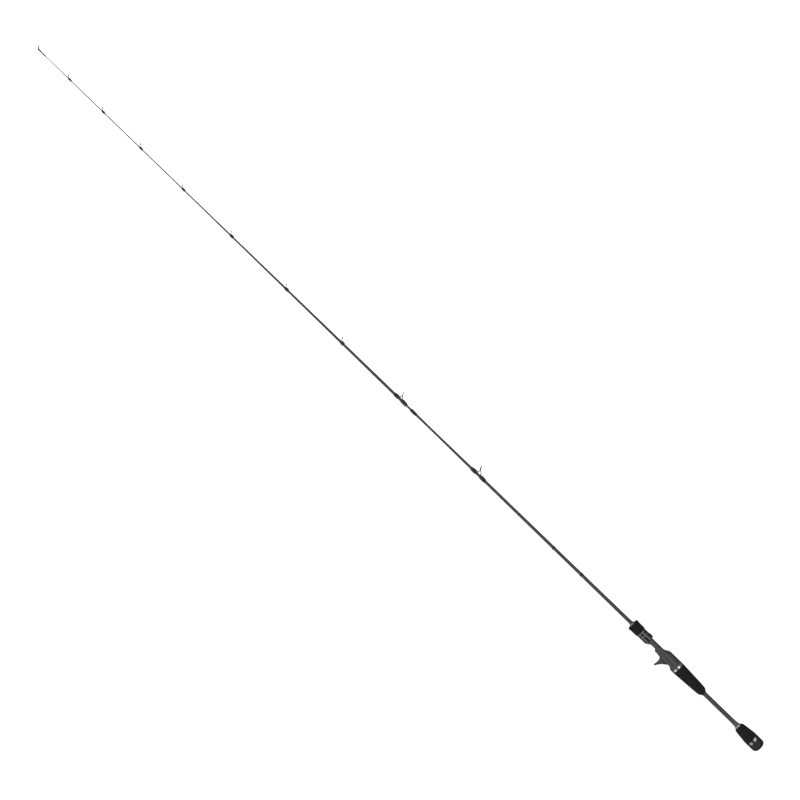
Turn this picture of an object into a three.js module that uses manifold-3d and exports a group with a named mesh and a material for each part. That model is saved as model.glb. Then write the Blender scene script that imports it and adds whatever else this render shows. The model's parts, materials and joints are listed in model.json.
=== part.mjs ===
// A two-piece casting rod with a trigger grip and ten line guides, lying on its side.
// Units are millimetres. Inside the rod's own group X runs from the butt to the tip and Z
// points to the side that carries the reel and the guides, so the trigger hangs towards -Z.
// The exported group lays the rod down: the guides then point to -Y, and +Z is up.
import * as THREE from "three";
import { mergeVertices } from "three/addons/utils/BufferGeometryUtils.js";
import Module from "manifold-3d";

const wasm = await Module();
wasm.setup();

// ---- Driving dimensions -----------------------------------------------------------------

const ROD_LENGTH = 1980;
const GAP = 0.3; // between pieces that are glued or seated on each other
const FIT = 0.2; // round a piece that sits on the blank
const THROUGH = 20; // half the width of a cut that goes right through the handle

const HANDLE_SIDES = 20; // sides of a round handle piece
const BLANK_SIDES = 12; // sides of the blank and of what is wound on it

// Outside radius of each section along the rod, as [x, radius].
const BUTT_TAPER = [
  [11.5, 4.8],
  [160, 4.4],
  [293, 4.0],
  [370, 3.75],
  [490, 3.4],
  [725, 3.05],
  [956, 2.75],
];
const TIP_TAPER = [
  [967, 2.9],
  [1056, 2.85],
  [1174, 2.5],
  [1315, 2.15],
  [1457, 1.75],
  [1598, 1.25],
  [1740, 1.1],
  [1880, 0.95],
  [1974, 0.7],
];
const BUTT_BORE = { rear: 3.6, front: 2.35 };
const TIP_BORE = { mouth: 2.35, shoulder: 2.2, shoulderX: 1028, end: 0.9, endX: 1400 };
const SPIGOT = { rear: 896, tip: 1024, radius: 2.2, tipRadius: 2.08 };

const CAP = { length: 23.8, radius: 13.85, faceRadius: 6, pocketX: 9.5 };
const PLUG = { head: 4.5, headEnd: 11.2, stem: 3.3, end: 24 };
const GRIP_BORE = 5.15;
const BUTT_GRIP = { rear: 24.1, front: 59.4 };
const BUTT_CHECK = { rear: 59.7, front: 64.2, rearRadius: 7.0, frontRadius: 5.8 };
const BUTT_WINDING = { rear: 64.5, front: 71.5, build: 0.55 };
const REAR_CHECK = { rear: 152.8, front: 155.8, rearRadius: 5.2, frontRadius: 5.8 };
const REAR_GRIP = { rear: 156.1, front: 223.7 };

const END_RING = { rear: 224, front: 230, radius: 13.45, bore: 9.3 };
const SEAT = {
  rear: 211.8,
  shoulder: 230.3,
  front: 349.2,
  neck: 9.0,
  palm: 13.35,
  barrel: 8.2,
  deck: 7.3,
  deckFront: 303.5,
  relief: 7.0,
  finger: -9,
};
const SEAT_BORE = { arborRear: 6.6, middle: 4.4, arborFront: 6.2, rearEnd: 262, frontStart: 311 };
const REAR_ARBOR = { rear: 213, front: 260.5, radius: 6.3 };
const FRONT_ARBOR = { rear: 312.5, front: 347.9, radius: 5.9 };
const FIXED_POCKET = { rear: 250, mouth: 264, front: 276, halfWidth: 6.3, top: 12.15, corner: 2 };
const FIXED_LINER = { front: 262.3, wall: 0.4 };
const TRIGGER = { width: 8, bevel: 1.2 };

const HOOD = { rear: 304, front: 327, radius: 10.3, bore: 8.65, groove: 9.4 };
const HOOD_LIP = { front: 315, radius: 10.7, lift: 0.6 };
const HOOD_POCKET = { front: 313.5, radius: 8.6, lift: 1.8, liner: 0.45, linerEdge: 5.2 };
const TRIM = { rearX: 315.9, frontX: 324.3, width: 3, radius: 10.5 };
const NUT = { rear: 327.3, front: 349.4, core: 9.9, grip: 11.55, flare: 12.4 };
const FRONT_CHECK = { rear: 349.7, front: 352.8, rearRadius: 6.4, frontRadius: 4.7 };

// Line guides from the butt to the tip: where the top of the ring stands along the rod and
// above its axis, the ring's outer radius, and the windings that hold the feet.
const DOUBLE_FOOT_GUIDES = [
  { top: 779, height: 17.5, radius: 4.8, rear: [752, 767], front: [776.5, 791] },
  { top: 990, height: 15.0, radius: 4.0, rear: [967.3, 982], front: [989, 1001.5] },
];
const SINGLE_FOOT_GUIDES = [
  { top: 1152, height: 10.7, radius: 3.45 },
  { top: 1304, height: 9.2, radius: 3.0 },
  { top: 1454, height: 8.1, radius: 2.8 },
  { top: 1586, height: 7.6, radius: 2.7 },
  { top: 1702, height: 7.6, radius: 2.65 },
  { top: 1805, height: 7.4, radius: 2.6 },
  { top: 1897, height: 6.8, radius: 2.5 },
];
const LABEL_WINDINGS = [
  { rear: 487, front: 491.5, build: 0.9 },
  { rear: 563, front: 567.5, build: 0.9 },
];
const FERRULE_WINDING = { rear: 941, front: 955.7, build: 0.75 };
const TIP_WINDING = { rear: 1954.5, front: 1963.6, build: 0.7 };
const GUIDE_TILT = THREE.MathUtils.degToRad(26);
const TIP_TOP = {
  rear: 1964,
  front: 1976,
  tube: 1.35,
  radius: 2.9,
  height: 6.8,
  tilt: THREE.MathUtils.degToRad(35),
};
const RING_LENGTH = 0.44; // a ring's length along its hole, as a share of its outer radius
const FRAME_WALL = 0.55;
const INSERT_WALL = 0.55;
const INSERT_GAP = 0.1;
const FOOT = { thickness: 0.8, toe: 0.3, length: 8.5, width: 2, broad: 2.6 };
// How far a double-foot guide's toes lie inside their windings, and its legs outside them.
const DOUBLE_FOOT = { rearToe: 2.5, rearLeg: 1.5, frontLeg: 1, frontToe: 3 };

// ---- Materials --------------------------------------------------------------------------

function finish(color, roughness, metalness) {
  return new THREE.MeshStandardMaterial({ color, roughness, metalness });
}

const FINISHES = {
  blank: () => finish(0x33332f, 0.3, 0.15),
  rawCarbon: () => finish(0x5c5c55, 0.6, 0.1),
  thread: () => finish(0x151515, 0.2, 0.0),
  goldThread: () => finish(0x6b6353, 0.35, 0.3),
  foam: () => finish(0x212122, 0.95, 0.0),
  capRubber: () => finish(0x2c2c2d, 0.75, 0.0),
  seat: () => finish(0x4c4b47, 0.55, 0.1),
  gloss: () => finish(0x232323, 0.25, 0.1),
  steel: () => finish(0xc8c7c0, 0.2, 1.0),
  anodised: () => finish(0xb9ae96, 0.3, 1.0),
  gunmetal: () => finish(0x3a3b3d, 0.35, 0.9),
  ceramic: () => finish(0x1c1c1f, 0.15, 0.0),
  cork: () => finish(0x6d6558, 0.9, 0.0),
};

// ---- Solids -----------------------------------------------------------------------------

function solidOf(geometry) {
  const bare = geometry.index ? geometry.toNonIndexed() : geometry.clone();
  bare.deleteAttribute("normal");
  bare.deleteAttribute("uv");
  const merged = mergeVertices(bare, 1e-4);
  const vertProperties = merged.attributes.position.array;
  const triVerts = new Uint32Array(merged.index.array);
  return new wasm.Manifold(new wasm.Mesh({ numProp: 3, vertProperties, triVerts }));
}

function geometryOf(solid) {
  const { vertProperties, triVerts } = solid.getMesh();
  const geometry = new THREE.BufferGeometry();
  geometry.setAttribute("position", new THREE.BufferAttribute(vertProperties, 3));
  geometry.setIndex(new THREE.BufferAttribute(triVerts, 1));
  geometry.computeVertexNormals();
  return geometry;
}

function join(...geometries) {
  return geometryOf(geometries.map(solidOf).reduce((whole, piece) => whole.add(piece)));
}

function cut(geometry, ...tools) {
  return geometryOf(
    tools.map(solidOf).reduce((rest, tool) => rest.subtract(tool), solidOf(geometry)),
  );
}

function common(a, b) {
  return geometryOf(solidOf(a).intersect(solidOf(b)));
}

// A solid of revolution about the X axis. The outline is a list of [x, radius] that runs
// towards +X on the outside and starts and ends on the axis, or closes on itself.
function turned(outline, sides = HANDLE_SIDES) {
  const points = outline.map(([x, radius]) => new THREE.Vector2(radius, x));
  return new THREE.LatheGeometry(points, sides).rotateZ(-Math.PI / 2);
}

// A piece with a hole along it. Both outlines run towards +X.
function sleeve(outside, inside, sides = HANDLE_SIDES) {
  return turned([...outside, ...inside.toReversed(), outside[0]], sides);
}

function cylinder(rear, front, radius, sides = HANDLE_SIDES) {
  return turned(
    [
      [rear, 0],
      [rear, radius],
      [front, radius],
      [front, 0],
    ],
    sides,
  );
}

// A flat shape in the side view (X, Z), extruded to both sides of the rod's middle plane.
function sidePlate(shape, width, bevel = 0) {
  const geometry = new THREE.ExtrudeGeometry(shape, {
    depth: width - 2 * bevel,
    curveSegments: 4,
    bevelEnabled: bevel > 0,
    bevelThickness: bevel,
    bevelSize: bevel,
    bevelOffset: -bevel,
    bevelSegments: 1,
  });
  return geometry.translate(0, 0, bevel - width / 2).rotateX(Math.PI / 2);
}

function sideShape(points) {
  return new THREE.Shape(points.map(([x, z]) => new THREE.Vector2(x, z)));
}

function box(xs, ys, zs) {
  const size = [xs, ys, zs].map(([low, high]) => high - low);
  const middle = [xs, ys, zs].map(([low, high]) => (low + high) / 2);
  return new THREE.BoxGeometry(...size).translate(...middle);
}

// A slim four-sided bar along a path of [x, y, z] points.
function bar(points, radius) {
  const path = new THREE.CatmullRomCurve3(points.map((point) => new THREE.Vector3(...point)));
  const section = new THREE.Shape();
  section.absellipse(0, 0, radius, radius, 0, 2 * Math.PI, false, 0);
  return new THREE.ExtrudeGeometry(section, {
    steps: points.length - 1,
    curveSegments: 2,
    extrudePath: path,
  });
}

function smooth(outline, divisions) {
  const curve = new THREE.SplineCurve(outline.map(([x, y]) => new THREE.Vector2(x, y)));
  return curve.getPoints(divisions).map((point) => [point.x, point.y]);
}

// ---- The blank --------------------------------------------------------------------------

function radiusAt(x) {
  const taper = x < TIP_TAPER[0][0] ? BUTT_TAPER : TIP_TAPER;
  const end = taper.findIndex(([stationX]) => stationX >= x);
  const [x1, r1] = taper[end < 1 ? 1 : end];
  const [x0, r0] = taper[end < 1 ? 0 : end - 1];
  return THREE.MathUtils.mapLinear(x, x0, x1, r0, r1);
}

function buttBlank() {
  const [rearX] = BUTT_TAPER[0];
  const [frontX] = BUTT_TAPER.at(-1);
  const bore = [
    [rearX, BUTT_BORE.rear],
    [SPIGOT.rear, BUTT_BORE.front],
    [frontX, BUTT_BORE.front],
  ];
  return sleeve(BUTT_TAPER, bore, BLANK_SIDES);
}

function tipBlank() {
  const [mouthX] = TIP_TAPER[0];
  const [endX] = TIP_TAPER.at(-1);
  return turned(
    [
      [TIP_BORE.endX, 0],
      [TIP_BORE.endX, TIP_BORE.end],
      [TIP_BORE.shoulderX, TIP_BORE.shoulder],
      [mouthX, TIP_BORE.mouth],
      ...TIP_TAPER,
      [endX, 0],
    ],
    BLANK_SIDES,
  );
}

function ferruleSpigot() {
  const [buttEnd] = BUTT_TAPER.at(-1);
  return turned(
    [
      [SPIGOT.rear, 0],
      [SPIGOT.rear, SPIGOT.radius],
      [buttEnd, SPIGOT.radius],
      [SPIGOT.tip - 1, SPIGOT.tipRadius],
      [SPIGOT.tip, SPIGOT.tipRadius - 0.4],
      [SPIGOT.tip, 0],
    ],
    BLANK_SIDES,
  );
}

// A winding of thread under varnish, round the blank alone.
function winding({ rear, front, build }) {
  const slope = Math.min(1.2, (front - rear) / 4);
  const inner = radiusAt(rear) + FIT;
  const crest = radiusAt(rear) + build;
  return sleeve(
    [
      [rear, inner + 0.15],
      [rear + slope, crest],
      [front - slope, crest],
      [front, inner + 0.15],
    ],
    [
      [rear, inner],
      [front, inner],
    ],
    BLANK_SIDES,
  );
}

// A winding that also holds a guide's foot down, so it bulges on the guide side.
function footWinding(rear, front, foot) {
  const slope = Math.min(2, (front - rear) / 4);
  const radius = radiusAt(rear);
  const lift = 0.5;
  const crest = radius + 1;
  const body = turned(
    [
      [rear, 0],
      [rear, radius + 0.45],
      [rear + slope, crest],
      [front - slope, crest],
      [front, radius + 0.55],
      [front, 0],
    ],
    BLANK_SIDES,
  ).translate(0, 0, lift);
  return cut(body, cylinder(rear - 1, front + 1, radius + FIT, BLANK_SIDES), foot);
}

// ---- Handle -----------------------------------------------------------------------------

function buttCap() {
  const corner = CAP.radius - CAP.faceRadius;
  const round = [0, 22.5, 45, 67.5, 90].map((degrees) => {
    const angle = THREE.MathUtils.degToRad(degrees);
    return [corner * (1 - Math.cos(angle)), CAP.faceRadius + corner * Math.sin(angle)];
  });
  return turned([
    [0, 0],
    ...round,
    [CAP.length, CAP.radius],
    [CAP.length, GRIP_BORE],
    [CAP.pocketX, GRIP_BORE],
    [CAP.pocketX, 0],
  ]);
}

function buttPlug() {
  const rear = CAP.pocketX + GAP;
  return turned(
    [
      [rear, 0],
      [rear, PLUG.head],
      [PLUG.headEnd, PLUG.head],
      [PLUG.headEnd, PLUG.stem],
      [PLUG.end, PLUG.stem],
      [PLUG.end, 0],
    ],
    BLANK_SIDES,
  );
}

function buttGrip() {
  const outside = smooth(
    [
      [BUTT_GRIP.rear, CAP.radius],
      [31, 13.75],
      [38, 12.8],
      [48, 11.7],
      [54.5, 10.8],
      [58, 9.9],
      [BUTT_GRIP.front, 8.7],
    ],
    8,
  );
  const inside = [
    [BUTT_GRIP.rear, GRIP_BORE],
    [BUTT_GRIP.front, GRIP_BORE],
  ];
  return sleeve(outside, inside);
}

function rearGrip() {
  const outside = smooth(
    [
      [REAR_GRIP.rear, 6.2],
      [158, 8.4],
      [164, 9.8],
      [175, 10.6],
      [191, 11.5],
      [208, 12.5],
      [REAR_GRIP.front, 13.4],
    ],
    10,
  );
  const counterbore = SEAT.neck + GAP;
  const inside = [
    [REAR_GRIP.rear, GRIP_BORE - 0.4],
    [SEAT.rear - GAP, GRIP_BORE - 0.4],
    [SEAT.rear - GAP, counterbore],
    [REAR_GRIP.front, counterbore],
  ];
  return sleeve(outside, inside);
}

// A ring that closes a grip's end against the blank.
function checkRing({ rear, front, rearRadius, frontRadius }) {
  const bore = radiusAt(rear) + FIT;
  return sleeve(
    [
      [rear, rearRadius],
      [(rear + front) / 2, (rearRadius + frontRadius) / 2 + 0.3],
      [front, frontRadius],
    ],
    [
      [rear, bore],
      [front, bore],
    ],
  );
}

function endRing() {
  return sleeve(
    [
      [END_RING.rear, END_RING.radius - 0.3],
      [END_RING.rear + 1, END_RING.radius],
      [END_RING.front - 1, END_RING.radius],
      [END_RING.front, END_RING.radius - 0.3],
    ],
    [
      [END_RING.rear, END_RING.bore],
      [END_RING.front, END_RING.bore],
    ],
  );
}

// ---- Reel seat --------------------------------------------------------------------------

// The finger hook leans forward from the palm and ends in a narrow round tip.
function triggerShape() {
  const shape = new THREE.Shape();
  shape.moveTo(243, -5);
  shape.lineTo(242.5, -8.5);
  shape.quadraticCurveTo(248.5, -12, 256, -22.3);
  shape.lineTo(260.2, -27.8);
  shape.quadraticCurveTo(261.8, -29.6, 263.4, -28.8);
  shape.quadraticCurveTo(264.4, -28, 264.4, -25.5);
  shape.quadraticCurveTo(263.8, -9.6, 272, -7.6);
  shape.lineTo(272, -5);
  return shape;
}

function behindTrigger() {
  const shape = new THREE.Shape();
  shape.moveTo(233, -16);
  shape.lineTo(233.5, -13.6);
  shape.quadraticCurveTo(236.5, SEAT.finger, 243, SEAT.finger);
  shape.lineTo(277, SEAT.finger);
  shape.lineTo(277, -16);
  return shape;
}

// The arch under the seat where a finger rests on the bare blank.
function fingerArch() {
  const shape = new THREE.Shape();
  shape.moveTo(280.2, -10);
  shape.quadraticCurveTo(281.3, -3.6, 285.7, -3.6);
  shape.lineTo(294.6, -3.6);
  shape.quadraticCurveTo(297.6, -3.6, 302.4, -10);
  return shape;
}

// A tunnel along the rod with a flat floor, straight sides and rounded upper corners.
function tunnel(rear, front, floor) {
  const { halfWidth, top, corner } = FIXED_POCKET;
  const outline = new THREE.Shape();
  outline.moveTo(-halfWidth, floor);
  outline.lineTo(halfWidth, floor);
  outline.lineTo(halfWidth, top - corner);
  outline.quadraticCurveTo(halfWidth, top, halfWidth - corner, top);
  outline.lineTo(corner - halfWidth, top);
  outline.quadraticCurveTo(-halfWidth, top, -halfWidth, top - corner);
  const lengthways = new THREE.Matrix4().makeBasis(
    new THREE.Vector3(0, 1, 0),
    new THREE.Vector3(0, 0, 1),
    new THREE.Vector3(1, 0, 0),
  );
  const options = { depth: front - rear, bevelEnabled: false, curveSegments: 3 };
  return new THREE.ExtrudeGeometry(outline, options)
    .applyMatrix4(lengthways)
    .translate(rear, 0, 0);
}

function seatBody() {
  const body = turned([
    [SEAT.rear, 0],
    [SEAT.rear, SEAT.neck],
    [SEAT.shoulder, SEAT.neck],
    [SEAT.shoulder, SEAT.palm],
    [258, SEAT.palm],
    [262, 13.0],
    [265, 11.5],
    [269, 9.9],
    [274, SEAT.barrel],
    [SEAT.front, SEAT.barrel],
    [SEAT.front, 0],
  ]);
  const scooped = cut(body, sidePlate(behindTrigger(), 2 * THROUGH));
  const hooked = join(scooped, sidePlate(triggerShape(), TRIGGER.width, TRIGGER.bevel));
  return cut(
    hooked,
    cylinder(SEAT.rear - 1, SEAT_BORE.rearEnd, SEAT_BORE.arborRear),
    cylinder(SEAT_BORE.rearEnd - 1, SEAT_BORE.frontStart + 1, SEAT_BORE.middle),
    cylinder(SEAT_BORE.frontStart, SEAT.front + 1, SEAT_BORE.arborFront),
    tunnel(FIXED_POCKET.rear, FIXED_POCKET.mouth, SEAT.relief),
    tunnel(FIXED_POCKET.mouth - 0.1, FIXED_POCKET.front, SEAT.deck),
    box([FIXED_POCKET.front - 0.1, SEAT.deckFront], [-THROUGH, THROUGH], [SEAT.deck, THROUGH]),
    box([SEAT.deckFront - 0.1, SEAT.front + 1], [-THROUGH, THROUGH], [SEAT.relief, THROUGH]),
    sidePlate(fingerArch(), 2 * THROUGH),
  );
}

// A bushing that centres the seat on the blank.
function arbor({ rear, front, radius }) {
  const bore = radiusAt(rear) + FIT;
  return sleeve(
    [
      [rear, radius],
      [front, radius],
    ],
    [
      [rear, bore],
      [front, bore],
    ],
  );
}

function fixedLiner() {
  const { rear, halfWidth, top, corner } = FIXED_POCKET;
  const half = halfWidth - corner;
  const roof = top - GAP;
  return box([rear + GAP, FIXED_LINER.front], [-half, half], [roof - FIXED_LINER.wall, roof]);
}

function hoodSleeve() {
  const { rear, front, radius, bore, groove } = HOOD;
  const tube = turned([
    [rear, 0],
    [rear, radius - 0.4],
    [rear + 0.5, radius],
    [TRIM.rearX, radius],
    [TRIM.rearX, groove],
    [TRIM.rearX + TRIM.width, groove],
    [TRIM.rearX + TRIM.width, radius],
    [TRIM.frontX, radius],
    [TRIM.frontX, groove],
    [front, groove],
    [front, 0],
  ]);
  const lip = turned([
    [rear, 0],
    [rear, HOOD_LIP.radius - 0.5],
    [rear + 0.8, HOOD_LIP.radius],
    [HOOD_LIP.front - 1.2, HOOD_LIP.radius],
    [HOOD_LIP.front, HOOD_LIP.radius - 0.7],
    [HOOD_LIP.front, 0],
  ]).translate(0, 0, HOOD_LIP.lift);
  const pocket = cylinder(rear - 1, HOOD_POCKET.front, HOOD_POCKET.radius);
  return cut(
    join(tube, lip),
    cylinder(rear - 1, front + 1, bore),
    pocket.translate(0, 0, HOOD_POCKET.lift),
  );
}

function hoodLiner() {
  const outer = HOOD_POCKET.radius - GAP;
  const inner = outer - HOOD_POCKET.liner;
  const rear = HOOD.rear + 0.4;
  const front = HOOD_POCKET.front - GAP;
  const ring = sleeve(
    [
      [rear, outer],
      [front, outer],
    ],
    [
      [rear, inner],
      [front, inner],
    ],
  ).translate(0, 0, HOOD_POCKET.lift);
  const roof = box([rear - 1, front + 1], [-THROUGH, THROUGH], [HOOD_POCKET.linerEdge, THROUGH]);
  return common(ring, roof);
}

function trimRing(rear) {
  const start = rear + GAP;
  const end = rear + TRIM.width - GAP;
  const bore = HOOD.groove + GAP;
  return sleeve(
    [
      [start, TRIM.radius - 0.2],
      [start + 0.4, TRIM.radius],
      [end - 0.4, TRIM.radius],
      [end, TRIM.radius - 0.2],
    ],
    [
      [start, bore],
      [end, bore],
    ],
  );
}

function nutCore() {
  return sleeve(
    [
      [NUT.rear, NUT.core],
      [NUT.front - 0.4, NUT.core],
    ],
    [
      [NUT.rear, HOOD.bore],
      [NUT.front - 0.4, HOOD.bore],
    ],
  );
}

function nutGrip() {
  const bore = NUT.core + GAP;
  return sleeve(
    [
      [NUT.rear, NUT.grip - 0.5],
      [NUT.rear + 0.8, NUT.grip],
      [NUT.front - 8, NUT.grip],
      [NUT.front - 3.5, NUT.flare - 0.3],
      [NUT.front - 1.8, NUT.flare],
      [NUT.front - 0.5, NUT.flare - 0.3],
      [NUT.front, NUT.grip - 0.2],
    ],
    [
      [NUT.rear, bore],
      [NUT.front, bore],
    ],
  );
}

// ---- Line guides ------------------------------------------------------------------------

// A ring stands on its tilted plane, its top leaning towards the tip.
function ringPose(guide, tilt) {
  const half = (RING_LENGTH * guide.radius) / 2;
  const x = guide.top - guide.radius * Math.sin(tilt);
  const z = guide.height - guide.radius * Math.cos(tilt) - half * Math.sin(tilt);
  return { x, z, half, tilt };
}

function placed(geometry, pose) {
  return geometry.rotateY(pose.tilt).translate(pose.x, 0, pose.z);
}

function frameRing(guide, pose) {
  const { radius } = guide;
  const inner = radius - FRAME_WALL;
  const band = sleeve(
    [
      [-pose.half, radius],
      [pose.half, radius],
    ],
    [
      [-pose.half, inner],
      [pose.half, inner],
    ],
    ringSides(guide),
  );
  return placed(band, pose);
}

// The hard insert that the line runs through, rounded on its inside.
function insertRing(guide, tilt = GUIDE_TILT) {
  const pose = ringPose(guide, tilt);
  const outer = guide.radius - FRAME_WALL - INSERT_GAP;
  const inner = outer - INSERT_WALL;
  const half = pose.half + 0.15;
  const band = sleeve(
    [
      [-half, outer],
      [half, outer],
    ],
    [
      [-half, inner + 0.2],
      [0, inner],
      [half, inner + 0.2],
    ],
    ringSides(guide),
  );
  return placed(band, pose);
}

function ringSides(guide) {
  return guide.radius > 3.5 ? 16 : 12;
}

// A foot lies along the blank: thin at its toe, and thick where the leg rises.
function footShape(toeX, legX, base, clearance = 0) {
  const forward = Math.sign(legX - toeX);
  return sideShape([
    [toeX - forward * clearance, base - clearance],
    [legX + forward * clearance, base - clearance],
    [legX + forward * clearance, base + FOOT.thickness + clearance],
    [toeX - forward * clearance, base + FOOT.toe + clearance],
  ]);
}

function foot(toeX, legX, width, clearance = 0) {
  const base = Math.max(radiusAt(toeX), radiusAt(legX)) + FIT;
  return sidePlate(footShape(toeX, legX, base, clearance), width + 2 * clearance);
}

// A point on the middle of the ring's rim, at an angle from its lowest point.
function rimPoint(guide, pose, degrees) {
  const angle = THREE.MathUtils.degToRad(degrees);
  const reach = guide.radius - FRAME_WALL / 2;
  const down = reach * Math.cos(angle);
  return [
    pose.x - down * Math.sin(pose.tilt),
    reach * Math.sin(angle),
    pose.z - down * Math.cos(pose.tilt),
  ];
}

// The front and rear feet of a guide that stands across its two windings.
function doubleFeet(guide, clearance = 0) {
  const rearLeg = guide.rear[1] + DOUBLE_FOOT.rearLeg;
  const frontLeg = guide.front[0] - DOUBLE_FOOT.frontLeg;
  const rearToe = guide.rear[0] + DOUBLE_FOOT.rearToe;
  const frontToe = guide.front[1] - DOUBLE_FOOT.frontToe;
  return {
    rearLeg,
    frontLeg,
    rear: foot(rearToe, rearLeg, FOOT.broad, clearance),
    front: foot(frontToe, frontLeg, FOOT.broad, clearance),
  };
}

// Two legs rise from the rear foot to the ring's sides, and one short leg from the front foot.
function doubleFootGuide(guide) {
  const pose = ringPose(guide, GUIDE_TILT);
  const { rearLeg, frontLeg, rear, front } = doubleFeet(guide);
  const deck = radiusAt(rearLeg) + FIT + FOOT.thickness / 2;
  const rearLegs = [-1, 1].map((side) => {
    const [x, y, z] = rimPoint(guide, pose, side * 50);
    const start = [rearLeg - 0.7, side * 0.5, deck];
    const knee = [(x + rearLeg) / 2 - 0.6, side * 1.6, (z + deck) / 2 + 0.4];
    return bar([start, knee, [x, y, z]], 0.5);
  });
  const [baseX, , baseZ] = rimPoint(guide, pose, 0);
  const frontPost = bar([[frontLeg + 0.5, 0, deck], [baseX, 0, baseZ]], 0.5);
  const frame = join(frameRing(guide, pose), rear, front, ...rearLegs, frontPost);
  const hole = cylinder(-6, 6, guide.radius - FRAME_WALL, ringSides(guide));
  return cut(frame, placed(hole, pose));
}

// A single foot's toe and its leg, which rises just behind the lowest point of the ring.
function singleFootSpan(guide) {
  const [baseX] = rimPoint(guide, ringPose(guide, GUIDE_TILT), 0);
  const legX = baseX - 1.2;
  return { toeX: legX - FOOT.length, legX };
}

function singleFoot(guide, clearance = 0) {
  const { toeX, legX } = singleFootSpan(guide);
  const width = Math.min(FOOT.width, 2 * radiusAt(toeX));
  return foot(toeX, legX, width, clearance);
}

function singleFootGuide(guide) {
  const pose = ringPose(guide, GUIDE_TILT);
  const { toeX, legX } = singleFootSpan(guide);
  const deck = radiusAt(toeX) + FIT + FOOT.thickness / 2;
  const legs = [-1, 1].map((side) => {
    const [x, y, z] = rimPoint(guide, pose, side * 40);
    const start = [legX - 0.6, side * 0.4, deck];
    const knee = [(x + legX) / 2, (y + side * 0.4) / 2, (z + deck) / 2];
    return bar([start, knee, [x, y, z]], 0.42);
  });
  const frame = join(frameRing(guide, pose), singleFoot(guide), ...legs);
  const hole = cylinder(-5, 5, guide.radius - FRAME_WALL, ringSides(guide));
  return cut(frame, placed(hole, pose));
}

function tipTopPose() {
  return ringPose({ ...TIP_TOP, top: tipRingTop() }, TIP_TOP.tilt);
}

// The ring's foremost edge is the end of the rod.
function tipRingTop() {
  const half = (RING_LENGTH * TIP_TOP.radius) / 2;
  return ROD_LENGTH - half * Math.cos(TIP_TOP.tilt);
}

function tipTopFrame() {
  const pose = tipTopPose();
  const { rear, front, tube, radius } = TIP_TOP;
  const bore = radiusAt(rear) + 0.1;
  const sheath = turned(
    [
      [front - 1, 0],
      [front - 1, bore],
      [rear, bore],
      [rear, tube - 0.25],
      [rear + 0.8, tube],
      [front, tube],
      [front, 0],
    ],
    BLANK_SIDES,
  );
  const braces = [-1, 1].map((side) => {
    const rim = rimPoint(TIP_TOP, pose, side * 75);
    return bar([[rear + 5, side * 0.9, tube - 0.3], [rear + 10, side * 1.5, 1.8], rim], 0.4);
  });
  const base = rimPoint(TIP_TOP, pose, 0);
  const saddle = bar([[front - 1.5, 0, 0.7], base], 0.7);
  const frame = join(frameRing(TIP_TOP, pose), sheath, saddle, ...braces);
  const hole = cylinder(-5, 5, radius - FRAME_WALL, ringSides(TIP_TOP));
  return cut(frame, placed(hole, pose));
}

// ---- Assembly ---------------------------------------------------------------------------

function piece(name, geometry, material) {
  const mesh = new THREE.Mesh(geometry, material());
  mesh.name = name;
  return mesh;
}

function guidePieces(guide, number) {
  const name = `guide_${number}`;
  const room = doubleFeet(guide, FIT);
  return [
    piece(`${name}_frame`, doubleFootGuide(guide), FINISHES.gunmetal),
    piece(`${name}_ring`, insertRing(guide), FINISHES.ceramic),
    piece(`${name}_rear_winding`, footWinding(...guide.rear, room.rear), FINISHES.thread),
    piece(`${name}_front_winding`, footWinding(...guide.front, room.front), FINISHES.thread),
  ];
}

const rod = new THREE.Group();
const buttSection = new THREE.Group();
const tipSection = new THREE.Group();
const slidingHood = new THREE.Group();
const lockNut = new THREE.Group();
rod.add(buttSection, tipSection, slidingHood, lockNut);

buttSection.add(
  piece("butt_cap", buttCap(), FINISHES.capRubber),
  piece("butt_plug", buttPlug(), FINISHES.capRubber),
  piece("butt_grip", buttGrip(), FINISHES.foam),
  piece("butt_check", checkRing(BUTT_CHECK), FINISHES.anodised),
  piece("butt_winding", winding(BUTT_WINDING), FINISHES.goldThread),
  piece("rear_grip_check", checkRing(REAR_CHECK), FINISHES.gloss),
  piece("rear_grip", rearGrip(), FINISHES.foam),
  piece("seat_end_ring", endRing(), FINISHES.steel),
  piece("seat_body", seatBody(), FINISHES.seat),
  piece("seat_arbor_rear", arbor(REAR_ARBOR), FINISHES.cork),
  piece("seat_arbor_front", arbor(FRONT_ARBOR), FINISHES.cork),
  piece("fixed_hood_liner", fixedLiner(), FINISHES.steel),
  piece("front_check", checkRing(FRONT_CHECK), FINISHES.anodised),
  piece("butt_blank", buttBlank(), FINISHES.blank),
  piece("label_winding_rear", winding(LABEL_WINDINGS[0]), FINISHES.thread),
  piece("label_winding_front", winding(LABEL_WINDINGS[1]), FINISHES.thread),
  piece("ferrule_winding", winding(FERRULE_WINDING), FINISHES.thread),
  piece("ferrule_spigot", ferruleSpigot(), FINISHES.rawCarbon),
  ...guidePieces(DOUBLE_FOOT_GUIDES[0], 1),
);

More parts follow.
